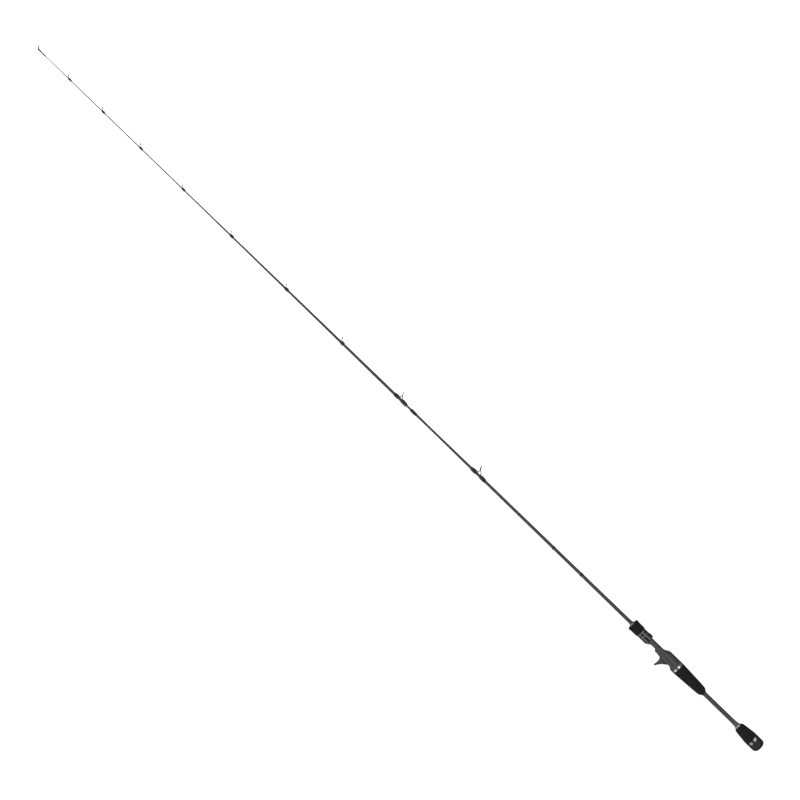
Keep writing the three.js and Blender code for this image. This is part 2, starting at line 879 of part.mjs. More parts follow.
tipSection.add(
  piece("tip_blank", tipBlank(), FINISHES.blank),
  ...guidePieces(DOUBLE_FOOT_GUIDES[1], 2),
);
SINGLE_FOOT_GUIDES.forEach((guide, index) => {
  const name = `guide_${index + 3}`;
  const { toeX, legX } = singleFootSpan(guide);
  const thread = footWinding(toeX - 1, legX - 0.4, singleFoot(guide, FIT));
  tipSection.add(
    piece(`${name}_frame`, singleFootGuide(guide), FINISHES.gunmetal),
    piece(`${name}_ring`, insertRing(guide), FINISHES.ceramic),
    piece(`${name}_winding`, thread, FINISHES.thread),
  );
});
const tipTop = { ...TIP_TOP, top: tipRingTop() };
tipSection.add(
  piece("tip_top_frame", tipTopFrame(), FINISHES.gunmetal),
  piece("tip_top_ring", insertRing(tipTop, TIP_TOP.tilt), FINISHES.ceramic),
  piece("tip_top_winding", winding(TIP_WINDING), FINISHES.thread),
);

slidingHood.add(
  piece("hood_sleeve", hoodSleeve(), FINISHES.gloss),
  piece("hood_liner", hoodLiner(), FINISHES.steel),
  piece("hood_trim_rear", trimRing(TRIM.rearX), FINISHES.steel),
  piece("hood_trim_front", trimRing(TRIM.frontX), FINISHES.steel),
);

lockNut.add(
  piece("nut_core", nutCore(), FINISHES.gunmetal),
  piece("nut_grip", nutGrip(), FINISHES.foam),
);

// Lying down, the guides point to -Y.
rod.rotation.x = Math.PI / 2;

export default rod;
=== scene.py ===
"""The finished looks of a two-piece casting rod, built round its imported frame.

Everything is in metres and in the frame's own axes: X runs from the butt to the tip, -Y is
the side that carries the reel and the line guides, and +Z is up, so the rod lies on its side.
Pieces are shaped with the guides standing up, towards +Z, where a point is (along, side, up),
and each one is laid down as it is finished.
"""

import json
import logging
import math
from collections.abc import Iterator, Sequence
from dataclasses import dataclass, field
from enum import Enum

import bmesh
import bpy
from mathutils import Matrix, Vector


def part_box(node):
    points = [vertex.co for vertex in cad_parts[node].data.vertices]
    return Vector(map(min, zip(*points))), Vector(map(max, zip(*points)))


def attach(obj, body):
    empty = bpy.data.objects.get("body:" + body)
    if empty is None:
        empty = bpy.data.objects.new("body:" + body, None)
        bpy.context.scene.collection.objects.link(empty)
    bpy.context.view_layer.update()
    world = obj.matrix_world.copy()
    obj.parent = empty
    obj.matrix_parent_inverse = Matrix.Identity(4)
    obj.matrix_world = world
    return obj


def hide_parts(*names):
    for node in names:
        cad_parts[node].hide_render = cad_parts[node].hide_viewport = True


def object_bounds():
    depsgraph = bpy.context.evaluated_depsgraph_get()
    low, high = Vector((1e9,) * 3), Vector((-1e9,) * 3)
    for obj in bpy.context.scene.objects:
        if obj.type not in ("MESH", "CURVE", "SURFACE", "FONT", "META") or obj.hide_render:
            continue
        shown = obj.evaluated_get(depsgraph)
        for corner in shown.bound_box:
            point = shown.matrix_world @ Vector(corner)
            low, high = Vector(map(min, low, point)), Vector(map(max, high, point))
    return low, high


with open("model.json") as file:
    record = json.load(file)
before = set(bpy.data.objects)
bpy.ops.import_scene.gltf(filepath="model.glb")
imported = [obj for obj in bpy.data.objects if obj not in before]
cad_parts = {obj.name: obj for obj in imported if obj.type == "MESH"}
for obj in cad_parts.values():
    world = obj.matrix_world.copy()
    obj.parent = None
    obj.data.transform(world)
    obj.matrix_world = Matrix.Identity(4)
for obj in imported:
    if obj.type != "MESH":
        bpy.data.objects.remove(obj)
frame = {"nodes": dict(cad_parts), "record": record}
CAD_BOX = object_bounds()

LOG = logging.getLogger("casting_rod")
MM = 0.001
GLUE_GAP = 0.3 * MM  # between pieces that are glued or seated on each other
OVERCUT = 1 * MM  # how far a cutting tool reaches past what it cuts
LAY_DOWN = Matrix.Rotation(math.pi / 2, 4, "X")
SHARP_EDGE = math.radians(38)
GRIP_SIDES = 96
WINDING_SIDES = 40
BLANK_SIDES = 36
THREAD_SEGMENTS = 22  # of each turn of a winding

Outline = list[tuple[float, ...]]
Colour = tuple[float, float, float, float]


# ---- Wiring of shader and geometry trees ----------------------------------------------------


class Wire:
    """One output of a node. Arithmetic on it adds Math nodes to the same tree."""

    def __init__(self, wiring: "Wiring", socket: bpy.types.NodeSocket) -> None:
        """Wraps a socket of a tree.

        Args:
            wiring: The tree's wiring, which adds the nodes.
            socket: The output to wrap.
        """
        self.wiring = wiring
        self.socket = socket

    def _math(self, operation: str, *values: "Wire | float") -> "Wire":
        """Adds one Math node on these values."""
        settings = {"operation": operation}
        return self.wiring.node("ShaderNodeMath", settings, dict(enumerate(values)))

    def __add__(self, other: "Wire | float") -> "Wire":
        """Gives the sum."""
        return self._math("ADD", self, other)

    def __radd__(self, other: float) -> "Wire":
        """Gives the sum with a number on the left."""
        return self._math("ADD", other, self)

    def __sub__(self, other: "Wire | float") -> "Wire":
        """Gives the difference."""
        return self._math("SUBTRACT", self, other)

    def __rsub__(self, other: float) -> "Wire":
        """Gives a number less this value."""
        return self._math("SUBTRACT", other, self)

    def __mul__(self, other: "Wire | float") -> "Wire":
        """Gives the product."""
        return self._math("MULTIPLY", self, other)

    def __truediv__(self, other: "Wire | float") -> "Wire":
        """Gives the quotient."""
        return self._math("DIVIDE", self, other)

    def __pow__(self, other: "Wire | float") -> "Wire":
        """Gives the power."""
        return self._math("POWER", self, other)

    def lowest(self, other: "Wire | float") -> "Wire":
        """Gives the smaller of two values."""
        return self._math("MINIMUM", self, other)

    def highest(self, other: "Wire | float") -> "Wire":
        """Gives the larger of two values."""
        return self._math("MAXIMUM", self, other)

    def clamped(self) -> "Wire":
        """Gives the value kept between 0 and 1."""
        return self.highest(0.0).lowest(1.0)

    def size(self) -> "Wire":
        """Gives the value without its sign."""
        return self._math("ABSOLUTE", self)

    def fraction(self) -> "Wire":
        """Gives what is left after the whole number."""
        return self._math("FRACT", self)

    def root(self) -> "Wire":
        """Gives the square root."""
        return self._math("SQRT", self)

    def angle_to(self, other: "Wire") -> "Wire":
        """Gives the angle whose tangent is this value over the other."""
        return self._math("ARCTAN2", self, other)

    def over(self, other: "Wire | float") -> "Wire":
        """Gives 1 where this value is above the other, and 0 elsewhere."""
        return self._math("GREATER_THAN", self, other)

    def rise(self, low: "Wire | float", high: "Wire | float") -> "Wire":
        """Rises smoothly from 0 at the low value to 1 at the high one.

        Args:
            low: The value below which the result is 0.
            high: The value above which the result is 1.

        Returns:
            The smooth step.
        """
        settings = {"interpolation_type": "SMOOTHSTEP"}
        inputs = {"Value": self, "From Min": low, "From Max": high}
        return self.wiring.node("ShaderNodeMapRange", settings, inputs)

    def pick(self, output: str | int) -> "Wire":
        """Gives another output of the same node."""
        return Wire(self.wiring, self.socket.node.outputs[output])


class Wiring:
    """Adds and links the nodes of one shader or geometry tree."""

    def __init__(self, tree: bpy.types.NodeTree) -> None:
        """Takes the tree to work on."""
        self.tree = tree

    def node(
        self,
        kind: str,
        settings: dict[str, object] | None = None,
        inputs: dict[str | int, object] | None = None,
        output: str | int = 0,
    ) -> Wire:
        """Adds one node.

        Args:
            kind: The node's type.
            settings: Its properties, set first.
            inputs: Values, wires or lists of wires for its sockets, by name or number.
            output: The output to give back.

        Returns:
            The wire of that output.
        """
        made = self.tree.nodes.new(kind)
        for name, value in (settings or {}).items():
            setattr(made, name, value)
        for key, value in (inputs or {}).items():
            self._feed(made.inputs[key], value)
        return Wire(self, made.outputs[output])

    def _feed(self, socket: bpy.types.NodeSocket, value: object) -> None:
        """Links or sets one input."""
        if isinstance(value, Wire):
            self.tree.links.new(value.socket, socket)
        elif isinstance(value, list):
            for wire in value:
                self.tree.links.new(wire.socket, socket)
        else:
            socket.default_value = value

    def split(self, vector: Wire) -> tuple[Wire, Wire, Wire]:
        """Gives a vector's X, Y and Z."""
        x = self.node("ShaderNodeSeparateXYZ", inputs={"Vector": vector}, output="X")
        return x, x.pick("Y"), x.pick("Z")

    def vector(self, x: object, y: object, z: object) -> Wire:
        """Makes a vector of three values."""
        return self.node("ShaderNodeCombineXYZ", inputs={"X": x, "Y": y, "Z": z})


class Brush(Wiring):
    """Paints one material: a Principled shader and the patterns that drive it."""

    def __init__(self, name: str) -> None:
        """Starts an empty material of that name."""
        self.material = bpy.data.materials.new(name)
        self.material.use_nodes = True
        super().__init__(self.material.node_tree)
        self.tree.nodes.clear()
        self.shader = self.tree.nodes.new("ShaderNodeBsdfPrincipled")
        output = self.tree.nodes.new("ShaderNodeOutputMaterial")
        self.tree.links.new(self.shader.outputs["BSDF"], output.inputs["Surface"])

    def apply(self, values: dict[str, object]) -> None:
        """Sets or links sockets of the shader, by name."""
        for name, value in values.items():
            self._feed(self.shader.inputs[name], value)

    def place(self) -> Wire:
        """Gives where a point of the piece is, in millimetres."""
        own = self.node("ShaderNodeTexCoord", output="Object")
        inputs = {"Vector": own, "Scale": 1 / MM}
        return self.node("ShaderNodeVectorMath", {"operation": "SCALE"}, inputs)

    def stretched(self, vector: Wire, scale: tuple[float, float, float]) -> Wire:
        """Scales a pattern's coordinates differently along each axis."""
        return self.node("ShaderNodeMapping", inputs={"Vector": vector, "Scale": scale})

    def noise(self, vector: Wire, grain: float, detail: float = 2.0) -> Wire:
        """Adds soft noise.

        Args:
            vector: The pattern's coordinates, in millimetres.
            grain: The size of its patches, in millimetres.
            detail: How many finer layers it has.

        Returns:
            The noise, between 0 and 1.
        """
        inputs = {"Vector": vector, "Scale": 1 / grain, "Detail": detail}
        return self.node("ShaderNodeTexNoise", inputs=inputs)

    def cells(self, vector: Wire, grain: float) -> Wire:
        """Gives the distance from the middle of the nearest of many round cells."""
        inputs = {"Vector": vector, "Scale": 1 / grain}
        return self.node("ShaderNodeTexVoronoi", inputs=inputs, output="Distance")

    def blend(self, share: Wire | float, first: Colour | Wire, second: Colour | Wire) -> Wire:
        """Mixes two colours.

        Args:
            share: How much of the second colour shows.
            first: The colour at a share of 0.
            second: The colour at a share of 1.

        Returns:
            The mixed colour.
        """
        return self.node("ShaderNodeMix", {"data_type": "RGBA"}, {0: share, 6: first, 7: second}, 2)

    def relief(self, height: Wire, depth: float, strength: float = 1.0) -> Wire:
        """Turns a height pattern into a bumped normal.

        Args:
            height: The pattern, where 1 is the full depth.
            depth: The depth in millimetres.
            strength: How much of it shows.

        Returns:
            The normal.
        """
        inputs = {"Height": height, "Distance": depth * MM, "Strength": strength}
        return self.node("ShaderNodeBump", inputs=inputs)


class Recipe(Wiring):
    """A Geometry Nodes tree with named inputs, which makes one kind of piece."""

    def __init__(self, name: str, sizes: dict[str, str]) -> None:
        """Starts the tree.

        Args:
            name: The tree's name.
            sizes: Each named input and its socket type.
        """
        super().__init__(bpy.data.node_groups.new(name, "GeometryNodeTree"))
        sockets = self.tree.interface
        for side in ("INPUT", "OUTPUT"):
            sockets.new_socket("Geometry", in_out=side, socket_type="NodeSocketGeometry")
        for size, kind in {**sizes, "Finish": "NodeSocketMaterial"}.items():
            sockets.new_socket(size, in_out="INPUT", socket_type=kind)
        self.entry = self.tree.nodes.new("NodeGroupInput")
        self.exit = self.tree.nodes.new("NodeGroupOutput")

    def given(self, name: str) -> Wire:
        """Gives one of the tree's named inputs."""
        return Wire(self, self.entry.outputs[name])

    def close(self, geometry: Wire) -> None:
        """Ends the tree: real geometry with the finish on it."""
        real = self.node("GeometryNodeRealizeInstances", inputs={"Geometry": geometry})
        inputs = {"Geometry": real, "Material": self.given("Finish")}
        dressed = self.node("GeometryNodeSetMaterial", inputs=inputs)
        self.tree.links.new(dressed.socket, self.exit.inputs[0])

    def make(self, base: bpy.types.ID, values: dict[str, object]) -> bpy.types.Mesh:
        """Runs the tree once.

        Args:
            base: The mesh or curve that goes in.
            values: The named inputs' values.

        Returns:
            A plain mesh with the result.
        """
        holder = carrier(base)
        modifier = holder.modifiers.new(self.tree.name, "NODES")
        modifier.node_group = self.tree
        for item in self.tree.interface.items_tree:
            if item.in_out == "INPUT" and item.name in values:
                modifier[item.identifier] = values[item.name]
        return settled(holder)


# ---- Mesh work ------------------------------------------------------------------------------


def carrier(data: bpy.types.ID) -> bpy.types.Object:
    """Puts mesh or curve data on a passing object, so that modifiers can work on it."""
    holder = bpy.data.objects.new(data.name, data)
    bpy.context.scene.collection.objects.link(holder)
    return holder


def settled(holder: bpy.types.Object) -> bpy.types.Mesh:
    """Takes the passing object's shape with its modifiers as a plain mesh, and removes it."""
    bpy.context.view_layer.update()
    graph = bpy.context.evaluated_depsgraph_get()
    mesh = bpy.data.meshes.new_from_object(holder.evaluated_get(graph))
    holder.modifiers.clear()
    bpy.data.objects.remove(holder)
    return mesh


def mesh_of(shape: bmesh.types.BMesh, name: str) -> bpy.types.Mesh:
    """Closes a bmesh into a mesh whose faces point outwards."""
    bmesh.ops.recalc_face_normals(shape, faces=shape.faces)
    mesh = bpy.data.meshes.new(name)
    shape.to_mesh(mesh)
    shape.free()
    return mesh


def lathe(outline: Outline, sides: int, name: str = "turned") -> bpy.types.Mesh:
    """Turns an outline about the rod's axis.

    Args:
        outline: Points (along, radius). They start and end on the axis, or close on
            themselves, the last point repeating the first.
        sides: How many sides the round piece has.
        name: The mesh's name.

    Returns:
        The closed mesh.
    """
    closed = outline[0] == outline[-1]
    shape = bmesh.new()
    rings = []
    for along, radius in outline[: -1 if closed else None]:
        if radius <= 0:
            rings.append([shape.verts.new((along, 0, 0))])
            continue
        turns = (2 * math.pi * k / sides for k in range(sides))
        rings.append(
            [shape.verts.new((along, -radius * math.sin(a), radius * math.cos(a))) for a in turns]
        )
    after = rings[1:] + (rings[:1] if closed else [])
    for rear, front in zip(rings, after):
        for k in range(sides):
            near, far = k, (k + 1) % sides
            corners = (
                rear[near % len(rear)],
                front[near % len(front)],
                front[far % len(front)],
                rear[far % len(rear)],
            )
            corners = list(dict.fromkeys(corners))
            if len(corners) > 2:
                shape.faces.new(corners)
    return mesh_of(shape, name)


def sleeve(outside: Outline, bore: float, sides: int) -> bpy.types.Mesh:
    """Turns a piece with a plain round hole along it.

    Args:
        outside: Points (along, radius) from the butt end to the tip end.
        bore: The hole's radius.
        sides: How many sides the round piece has.

    Returns:
        The closed mesh.
    """
    rear, front = outside[0][0], outside[-1][0]
    return lathe([*outside, (front, bore), (rear, bore), outside[0]], sides)


def rounded(outline: Outline, radius: float, steps: int = 5) -> Outline:
    """Rounds the corners of an outline, apart from its two ends.

    Args:
        outline: The corners, as points.
        radius: How far from each corner the rounding starts, at most.
        steps: The points on each rounded corner.

    Returns:
        The finer outline.
    """
    points = [Vector(point) for point in outline]
    made = [outline[0]]
    for before, corner, after in zip(points, points[1:], points[2:]):
        reach_in = min(radius, (before - corner).length * 0.49)
        reach_out = min(radius, (after - corner).length * 0.49)
        start = corner + (before - corner).normalized() * reach_in
        end = corner + (after - corner).normalized() * reach_out
        for step in range(steps + 1):
            t = step / steps
            made.append(tuple((1 - t) ** 2 * start + 2 * t * (1 - t) * corner + t * t * end))
    return [*made, outline[-1]]


def flowing(points: Sequence[tuple[float, ...]], steps: int) -> Outline:
    """Runs a smooth line through points of any number of dimensions.

    Args:
        points: The points to pass through.
        steps: The pieces between two of them.

    Returns:
        The points of the finer line.
    """
    line = [Vector(point) for point in points]
    padded = [2 * line[0] - line[1], *line, 2 * line[-1] - line[-2]]
    made = []
    for a, b, c, d in zip(padded, padded[1:], padded[2:], padded[3:]):
        for step in range(steps):
            t = step / steps
            bend = (2 * a - 5 * b + 4 * c - d) * t + (3 * b - a - 3 * c + d) * t * t
            made.append(tuple(b + (c - a + bend) * t / 2))
    return [*made, tuple(line[-1])]


def bowed(start: tuple, control: tuple, end: tuple, steps: int = 8) -> Outline:
    """Draws one bow from start to end, pulled towards the control point."""
    a, b, c = Vector(start), Vector(control), Vector(end)
    shares = [step / steps for step in range(steps + 1)]
    return [tuple((1 - t) ** 2 * a + 2 * t * (1 - t) * b + t * t * c) for t in shares]


def oval(
    centre: Vector, across: Vector, along: Vector, fullness: float = 2.0, count: int = 24
) -> list[Vector]:
    """Makes a closed loop, round at a fullness of 2 and squarer above it.

    Args:
        centre: The loop's middle.
        across: Half its width, as a vector.
        along: Half its length, as a vector.
        fullness: How square it is.
        count: The points on it.

    Returns:
        The loop's points.
    """
    loop = []
    for k in range(count):
        turn = 2 * math.pi * k / count
        u, v = math.cos(turn), math.sin(turn)
        u = math.copysign(abs(u) ** (2 / fullness), u)
        v = math.copysign(abs(v) ** (2 / fullness), v)
        loop.append(centre + across * u + along * v)
    return loop


def lofted(
    sections: Sequence[Sequence[Vector]], name: str = "lofted", round_again: bool = False
) -> bpy.types.Mesh:
    """Skins a row of closed loops.

    Args:
        sections: Loops with the same number of points.
        name: The mesh's name.
        round_again: Whether the last loop joins the first. If not, both ends are closed flat.

    Returns:
        The closed mesh.
    """
    shape = bmesh.new()
    rings = [[shape.verts.new(point) for point in section] for section in sections]
    count = len(rings[0])
    for rear, front in zip(rings, rings[1:] + (rings[:1] if round_again else [])):
        for k in range(count):
            far = (k + 1) % count
            shape.faces.new((rear[k], front[k], front[far], rear[far]))
    if not round_again:
        shape.faces.new(rings[0])
        shape.faces.new(rings[-1])
    return mesh_of(shape, name)


def side_plate(outline: Outline, half_width: float) -> bpy.types.Mesh:
    """Makes a plate from a side view (along, up), as wide to both sides."""
    loops = [[Vector((x, side, z)) for x, z in outline] for side in (-half_width, half_width)]
    return lofted(loops, "plate")


def joined(parts: Sequence[bpy.types.Mesh]) -> bpy.types.Mesh:
    """Puts several closed meshes into one, unmelted."""
    shape = bmesh.new()
    for part in parts:
        shape.from_mesh(part)
    mesh = bpy.data.meshes.new(parts[0].name)
    shape.to_mesh(mesh)
    shape.free()
    return mesh


def melted(parts: Sequence[bpy.types.Mesh], voxel: float, relax: int) -> bpy.types.Mesh:
    """Melts overlapping closed parts into one skin with softened corners.

    Args:
        parts: The parts.
        voxel: The size of the new skin's faces.
        relax: How many times the skin is smoothed.

    Returns:
        The skin.
    """
    holder = carrier(joined(parts))
    remesh = holder.modifiers.new("melt", "REMESH")
    remesh.mode = "VOXEL"
    remesh.voxel_size = voxel
    smooth = holder.modifiers.new("relax", "SMOOTH")
    smooth.factor = 0.5
    smooth.iterations = relax
    return settled(holder)


def carved(body: bpy.types.Mesh, tools: Sequence[bpy.types.Mesh]) -> bpy.types.Mesh:
    """Cuts tools out of a closed body.

    Args:
        body: The body.
        tools: The closed shapes to take away.

    Returns:
        What is left.
    """
    holder = carrier(body)
    cutters = [carrier(tool) for tool in tools]
    for cutter in cutters:
        modifier = holder.modifiers.new("cut", "BOOLEAN")
        modifier.operation = "DIFFERENCE"
        modifier.solver = "MANIFOLD"
        modifier.object = cutter
    mesh = settled(holder)
    for cutter in cutters:
        bpy.data.objects.remove(cutter)
    return mesh


def plug(rear: float, front: float, radius: float, up: float = 0.0) -> bpy.types.Mesh:
    """Makes a plain round bar along the rod, for cutting bores."""
    mesh = lathe([(rear, 0), (rear, radius), (front, radius), (front, 0)], GRIP_SIDES, "plug")
    mesh.transform(Matrix.Translation((0, 0, up)))
    return mesh


# ---- What the frame says --------------------------------------------------------------------


@dataclass(frozen=True)
class Extent:
    """The room that one CAD node takes, with the guides standing up."""

    rear: float
    front: float
    low: float
    high: float
    side: float

    @classmethod
    def of(cls, node: str) -> "Extent":
        """Measures a CAD node."""
        lowest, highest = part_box(node)
        return cls(lowest.x, highest.x, -highest.y, -lowest.y, highest.z)

    @property
    def length(self) -> float:
        """The room along the rod."""
        return self.front - self.rear

    @property
    def centre(self) -> Vector:
        """The middle of the room."""
        return Vector(((self.rear + self.front) / 2, 0, (self.low + self.high) / 2))


def turned_outline(node: str) -> Outline:
    """Reads the outside of a turned CAD node.

    Args:
        node: The node's name.

    Returns:
        Points (along, radius), with the places left out where only its bore has corners.
    """
    widest: dict[float, float] = {}
    for vertex in frame["nodes"][node].data.vertices:
        along = round(vertex.co.x, 5)
        widest[along] = max(widest.get(along, 0.0), math.hypot(vertex.co.y, vertex.co.z))
    points = sorted(widest.items())
    inside = [
        here
        for before, here, after in zip(points, points[1:], points[2:])
        if here[1] < 0.85 * min(before[1], after[1])
    ]
    return [point for point in points if point not in inside]


def bore_of(node: str) -> float:
    """Reads the radius of the hole through a turned CAD node."""
    return min(math.hypot(v.co.y, v.co.z) for v in frame["nodes"][node].data.vertices)


def radius_at(outline: Outline, along: float) -> float:
    """Gives an outline's radius at a place along the rod."""
    for (rear, rear_radius), (front, front_radius) in zip(outline, outline[1:]):
        if along <= front:
            share = (along - rear) / (front - rear)
            return rear_radius + (front_radius - rear_radius) * share
    return outline[-1][1]


# ---- Finishes -------------------------------------------------------------------------------


def shade(red: float, green: float, blue: float) -> Colour:
    """Turns a display colour, 0 to 255, into the shader's linear colour."""
    linear = []
    for value in (red, green, blue):
        share = value / 255
        linear.append(share / 12.92 if share <= 0.04045 else ((share + 0.055) / 1.055) ** 2.4)
    return (*linear, 1.0)


class Grain(Enum):
    """How a metal's surface was worked."""

    TURNED = "fine grooves round the axis, from the lathe"
    POLISHED = "buffed, with faint scratches all ways"
    PLATED = "stamped and plated, with a soft fine texture"


@dataclass(frozen=True)
class Finish:
    """A surface of the rod. Each kind paints its own patterns."""

    name: str
    slot: str

    def paint(self, brush: Brush) -> None:
        """Wires the material's patterns."""
        raise NotImplementedError

    def material(self) -> bpy.types.Material:
        """Gives the finish's material, painted the first time it is asked for."""
        made = bpy.data.materials.get(self.name)
        if made is None:
            brush = Brush(self.name)
            self.paint(brush)
            made = brush.material
        return made


@dataclass(frozen=True)
class Laminate(Finish):
    """Carbon laminate rolled round a mandrel and bound by a spiral of tape."""

    dark: Colour = shade(20, 20, 19)
    light: Colour = shade(50, 50, 48)
    tape: float = 2.4
    roughness: float = 0.34
    coat: float = 0.6

    def paint(self, brush: Brush) -> None:
        """Wires long fibres, the tape's spiral ridges and a clear coat."""
        place = brush.place()
        along, side, up = brush.split(place)
        turn = up.angle_to(side) / (2 * math.pi)
        lap = ((along / self.tape + turn).fraction() - 0.5).size() * 2
        ridge = lap.rise(0.78, 1.0)
        fibres = brush.noise(brush.stretched(place, (0.04, 1.0, 1.0)), 0.22, 3)
        cloudy = brush.noise(place, 26, 2)
        share = (fibres - 0.25) * 0.8 + (cloudy - 0.5) * 0.4 + ridge * 0.1
        brush.apply(
            {
                "Base Color": brush.blend(share.clamped(), self.dark, self.light),
                "Roughness": self.roughness + (cloudy - 0.5) * 0.14 + ridge * 0.06,
                "Coat Weight": self.coat,
                "Coat Roughness": 0.09,
                "Normal": brush.relief(fibres * 0.15 - ridge, 0.012),
            }
        )


@dataclass(frozen=True)
class Thread(Finish):
    """Fine thread under a clear flowed coating."""

    dark: Colour = shade(12, 12, 13)
    light: Colour = shade(34, 34, 36)
    metallic: float = 0.0

    def paint(self, brush: Brush) -> None:
        """Wires the thread's twist and the coating's gentle unevenness."""
        place = brush.place()
        twist = brush.noise(brush.stretched(place, (7, 1.4, 1.4)), 1.0, 3)
        pools = brush.noise(place, 3.2, 1)
        brush.apply(
            {
                "Base Color": brush.blend(twist.rise(0.3, 0.75), self.dark, self.light),
                "Metallic": self.metallic,
                "Roughness": 0.36 + (twist - 0.5) * 0.2,
                "Coat Weight": 1.0,
                "Coat Roughness": 0.05,
                "Normal": brush.relief(twist * 0.5 + pools, 0.02),
            }
        )


@dataclass(frozen=True)
class Foam(Finish):
    """Close-cell foam, ground to shape and sanded."""

    dark: Colour = shade(22, 22, 23)
    light: Colour = shade(43, 43, 44)
    cell: float = 0.42

    def paint(self, brush: Brush) -> None:
        """Wires open cells, bumped in and darkened in their pits as painted shade, sanding dust and a
        patchy tone from handling.
        """
        place = brush.place()
        wander = brush.noise(place, 1.1, 2)
        cells = brush.cells(place, self.cell)
        pit_depth_and_shade = 1 - cells.rise(0.12, 0.5)
        patches = brush.noise(place, 14, 3)
        # The pits are bumped in and also darkened in the colour, as painted shade inside the open
        # cells.
        share = (patches - 0.3) * 1.1 + (wander - 0.5) * 0.5 - pit_depth_and_shade * 0.35
        brush.apply(
            {
                "Base Color": brush.blend(share.clamped(), self.dark, self.light),
                "Roughness": 0.86 + (wander - 0.5) * 0.16,
                "Specular IOR Level": 0.28,
                "Sheen Weight": 0.05,
                "Sheen Roughness": 0.5,
                "Normal": brush.relief(wander * 0.4 - pit_depth_and_shade, 0.09),
            }
        )


@dataclass(frozen=True)
class Rubber(Finish):
    """Moulded rubber with a fine spark-eroded texture."""

    dark: Colour = shade(33, 33, 34)
    light: Colour = shade(52, 52, 53)

    def paint(self, brush: Brush) -> None:
        """Wires the mould's texture and a worn, smoother bloom."""
        place = brush.place()
        texture = brush.noise(place, 0.35, 4)
        bloom = brush.noise(place, 9, 3)
        brush.apply(
            {
                "Base Color": brush.blend(bloom.rise(0.3, 0.72), self.dark, self.light),
                "Roughness": 0.62 + (bloom - 0.5) * 0.24 + (texture - 0.5) * 0.1,
                "Specular IOR Level": 0.4,
                "Normal": brush.relief(texture, 0.05),
            }
        )


@dataclass(frozen=True)
class SoftPaint(Finish):
    """Soft-touch paint over a fibre-filled moulding."""

    dark: Colour = shade(44, 43, 41)
    light: Colour = shade(92, 91, 85)

    def paint(self, brush: Brush) -> None:
        """Wires short glass fibres that show through, spray texture and handling marks."""
        place = brush.place()
        fibres = brush.noise(brush.stretched(place, (0.6, 1.3, 1.3)), 1.8, 5)
        spray = brush.noise(place, 0.28, 2)
        handled = brush.noise(place, 17, 3)
        share = (fibres - 0.5) * 1.7 + 0.45 + (handled - 0.5) * 0.7
        brush.apply(
            {
                "Base Color": brush.blend(share.clamped(), self.dark, self.light),
                "Roughness": 0.5 + (handled - 0.5) * 0.3 + (spray - 0.5) * 0.1,
                "Normal": brush.relief(spray + fibres * 0.5, 0.035),
            }
        )


@dataclass(frozen=True)
class GlossMoulding(Finish):
    """Black moulding with a high gloss and a few rubbed places."""

    dark: Colour = shade(13, 13, 14)
    light: Colour = shade(30, 30, 31)

    def paint(self, brush: Brush) -> None:
        """Wires flow marks under a hard clear coat."""
        place = brush.place()
        flow = brush.noise(brush.stretched(place, (0.35, 1, 1)), 2.6, 3)
        rubbed = brush.noise(place, 4.5, 5).rise(0.56, 0.78)
        brush.apply(
            {
                "Base Color": brush.blend(flow.rise(0.35, 0.75), self.dark, self.light),
                "Roughness": 0.3 + rubbed * 0.24,
                "Coat Weight": 0.7 - rubbed * 0.4,
                "Coat Roughness": 0.12,
                "Normal": brush.relief(flow, 0.05, 0.6),
            }
        )


@dataclass(frozen=True)
class Metal(Finish):
    """A worked metal surface."""

    dark: Colour = shade(188, 187, 182)
    light: Colour = shade(226, 225, 220)
    roughness: float = 0.16
    grain: Grain = Grain.TURNED

    def _texture(self, brush: Brush, place: Wire) -> Wire:
        """Gives the height pattern of the metal's grain."""
        if self.grain is Grain.TURNED:
            return brush.noise(brush.stretched(place, (9, 0.05, 0.05)), 1.0, 3)
        if self.grain is Grain.PLATED:
            return brush.noise(place, 0.3, 3)
        return brush.noise(brush.stretched(place, (2.5, 0.6, 6)), 1.0, 5)

    def paint(self, brush: Brush) -> None:
        """Wires the grain, and a dulling where hands and salt have been."""
        place = brush.place()
        texture = self._texture(brush, place)
        dulled = brush.noise(place, 3.5, 4).rise(0.45, 0.8)
        brush.apply(
            {
                "Base Color": brush.blend(dulled, self.light, self.dark),
                "Metallic": 1.0,
                "Roughness": self.roughness + dulled * 0.16 + (texture - 0.5) * 0.12,
                "Normal": brush.relief(texture, 0.012),
            }
        )


@dataclass(frozen=True)
class Ceramic(Finish):
    """A hard ring, lapped until the line slides on it."""

    dark: Colour = shade(20, 20, 24)
    light: Colour = shade(44, 45, 51)

    def paint(self, brush: Brush) -> None:
        """Wires the faint grain of sintered oxide."""
        place = brush.place()
        grain = brush.noise(place, 0.16, 4)
        cloud = brush.noise(place, 1.8, 2)
        brush.apply(
            {
                "Base Color": brush.blend(cloud.rise(0.3, 0.75), self.dark, self.light),
                "Roughness": 0.1 + (grain - 0.5) * 0.08,
                "Coat Weight": 0.5,
                "Coat Roughness": 0.03,
                "Normal": brush.relief(grain, 0.004),
            }
        )


@dataclass(frozen=True)
class Bushing(Finish):
    """Rigid foam, cut to length."""

    dark: Colour = shade(112, 104, 92)
    light: Colour = shade(150, 142, 128)

    def paint(self, brush: Brush) -> None:
        """Wires coarse open cells."""
        place = brush.place()
        cells = brush.cells(place, 0.7)
        tone = brush.noise(place, 3.0, 3)
        brush.apply(
            {
                "Base Color": brush.blend(tone, self.dark, self.light),
                "Roughness": 0.9 - cells * 0.08,
                "Normal": brush.relief(cells, 0.12),
            }
        )


